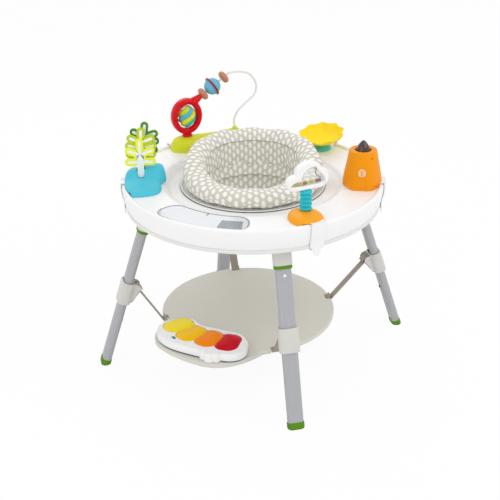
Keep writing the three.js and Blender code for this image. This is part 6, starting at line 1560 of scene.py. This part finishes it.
rim_edge = np.array([0.9, 0.2, 0, 0, 0.2, 0.9])
rim_heights = np.array([-3, -2.4, -1.8, 1.8, 2.4, 3])
trunk = upright_bar(19, 20.8, 76, 1, 3, TRUNK_THICKNESS / 2, 0.8)
for name, fingers, height, bottom, layer, lean, spine, colour, slot_name in (
        ("front", FRONT_FINGERS, 79.5, 57, 0, 0, 6, LEAF_LIME, "leaf lime"),
        ("middle", REAR_FINGERS, 90, 77, 1, 2.5, 1.5, LEAF_OLIVE, "leaf olive"),
        ("back", REAR_FINGERS, 90, 91.5, 2, 7, 1.5, LEAF_GREEN, "leaf green")):
    at = leaf_frame(layer, lean)
    fixed = name == "front"
    body = "frame" if fixed else f"leaf_{name}"
    outer, inner, web = (leaf_outline(fingers, height, bottom, inset, spine)
                         for inset in (0, LEAF_BAND, LEAF_BAND - 0.4))
    rows = np.concatenate([raised(outer, rim_edge, rim_heights), raised(inner, -rim_edge[::-1], rim_heights[::-1])])
    piece(f"leaf_rim_{name}", [moved(skin(rows, wrap_rows=True), at)], colour, body, [f"leaf_{name}"], 40)
    stalk = trunk if fixed else upright_bar(12, 24, bottom + 8, 5.9, 6, 3, 0.6)
    piece(f"leaf_web_{name}", [moved(plain_edge(web, 2.2, 0.3), at), moved(stalk, at)], WHITE_TOY, body,
          ["tree_trunk"] if fixed else (), 40)


# Camera, fitted to the photograph: its turn about Z from straight in front, its rise and its roll, and its
# distance and aim in millimetres
CAMERA_TURN = math.radians(-13.55)
CAMERA_RISE = math.radians(26.258)
CAMERA_ROLL = math.radians(-0.693)
CAMERA_FAR = 3064.8
CAMERA_AIM = (0, 0, 316.7)
FOCAL_PIXELS = 1016.31
MIDDLE_PIXEL = (253.736, 250.753)
IMAGE_PIXELS = 500
SENSOR_WIDTH = 36
back = Vector((math.sin(CAMERA_TURN) * math.cos(CAMERA_RISE), -math.cos(CAMERA_TURN) * math.cos(CAMERA_RISE),
               math.sin(CAMERA_RISE)))
right = Vector((math.cos(CAMERA_TURN), math.sin(CAMERA_TURN), 0))
up = back.cross(right)
rolled_right = right * math.cos(CAMERA_ROLL) + up * math.sin(CAMERA_ROLL)
rolled_up = up * math.cos(CAMERA_ROLL) - right * math.sin(CAMERA_ROLL)
camera_data = bpy.data.cameras.new("camera")
camera = bpy.data.objects.new("camera", camera_data)
bpy.context.scene.collection.objects.link(camera)
camera.matrix_world = Matrix.Translation((Vector(CAMERA_AIM) + back * CAMERA_FAR) * MM) @ Matrix(
    (rolled_right, rolled_up, back)).transposed().to_4x4()
camera_data.sensor_width = SENSOR_WIDTH
camera_data.lens = FOCAL_PIXELS / IMAGE_PIXELS * SENSOR_WIDTH
camera_data.shift_x = (IMAGE_PIXELS / 2 - MIDDLE_PIXEL[0]) / IMAGE_PIXELS
camera_data.shift_y = (MIDDLE_PIXEL[1] - IMAGE_PIXELS / 2) / IMAGE_PIXELS
camera_data.clip_end = 50
bpy.context.scene.camera = camera


# Light, floor and surroundings
def lamp(name, place, aim, size, power):
    """A square soft lamp at a place, turned to look at a point; both are in metres."""
    data = bpy.data.lights.new(name, "AREA")
    data.size = size
    data.energy = power
    obj = bpy.data.objects.new(name, data)
    bpy.context.scene.collection.objects.link(obj)
    turn = (Vector(aim) - Vector(place)).to_track_quat("-Z", "Y").to_matrix().to_4x4()
    obj.matrix_world = Matrix.Translation(place) @ turn


lamp("key lamp", (1.7, -1.5, 2.7), (0, 0, 0.4), 1.8, 17)
lamp("fill lamp", (-2.1, -1.7, 1.8), (0, 0, 0.4), 1.8, 9)
lamp("rear lamp", (-0.3, 2.2, 2.4), (0, 0, 0.5), 1.8, 10)

# The world glows on the object a little below white, and the camera sees it as white paper
world = bpy.data.worlds.new("studio")
bpy.context.scene.world = world
world.use_nodes = True
studio = world.node_tree
studio.nodes.clear()
path = add_node(studio, "LightPath").outputs
seen = add_node(studio, "Math", {0: path["Is Camera Ray"], 1: path["Is Transmission Ray"]}, operation="MAXIMUM")
glow = add_node(studio, "Background", {"Color": (0.99, 0.99, 1.0, 1), "Strength": 0.88})
paper = add_node(studio, "Background", {"Color": (1, 1, 1, 1), "Strength": 1.0})
both = add_node(studio, "MixShader", {0: seen.outputs[0], 1: glow.outputs[0], 2: paper.outputs[0]})
add_node(studio, "OutputWorld", {"Surface": both.outputs[0]})

# The floor is matt paper, most of which the camera sees as white, so that a little of the shadow stays
FLOOR_HALF = 9
FLOOR_WHITE = 0.93
floor_material, floor_tree, floor_shader = new_material("pale studio floor")
floor_place = add_node(floor_tree, "TexCoord").outputs["Object"]
floor_noise = add_node(floor_tree, "TexNoise", {"Vector": floor_place, "Scale": per_metre(400)})
floor_tone = add_node(floor_tree, "Mix", {"Factor": floor_noise.outputs["Fac"], 6: linear("#F6F6F6"),
                                          7: linear("#F3F3F3")}, data_type="RGBA")
set_inputs(floor_tree, floor_shader, {"Base Color": floor_tone.outputs[2], "Roughness": 0.9})
floor_path = add_node(floor_tree, "LightPath").outputs
floor_glow = add_node(floor_tree, "Emission", {"Color": (1, 1, 1, 1), "Strength": 1.0})
floor_share = add_node(floor_tree, "Math", {0: floor_path["Is Camera Ray"], 1: FLOOR_WHITE}, operation="MULTIPLY")
floor_mix = add_node(floor_tree, "MixShader", {0: floor_share.outputs[0], 1: floor_shader.outputs[0],
                                               2: floor_glow.outputs[0]})
floor_output = next(node for node in floor_tree.nodes if node.type == "OUTPUT_MATERIAL")
set_inputs(floor_tree, floor_output, {"Surface": floor_mix.outputs[0]})
floor_mesh = bpy.data.meshes.new("floor")
floor_corners = [(-1, -1), (1, -1), (1, 1), (-1, 1)]
floor_mesh.from_pydata([(FLOOR_HALF * x, FLOOR_HALF * y, 0) for x, y in floor_corners], [], [(0, 1, 2, 3)])
floor_mesh.materials.append(floor_material)
floor = bpy.data.objects.new("floor", floor_mesh)
bpy.context.scene.collection.objects.link(floor)

scene = bpy.context.scene
scene.view_settings.view_transform = "Standard"

# CAD nodes that still show take a plain moulded finish
for name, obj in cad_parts.items():
    if not obj.hide_render:
        obj.data.materials.clear()
        obj.data.materials.append(WHITE_TOY)
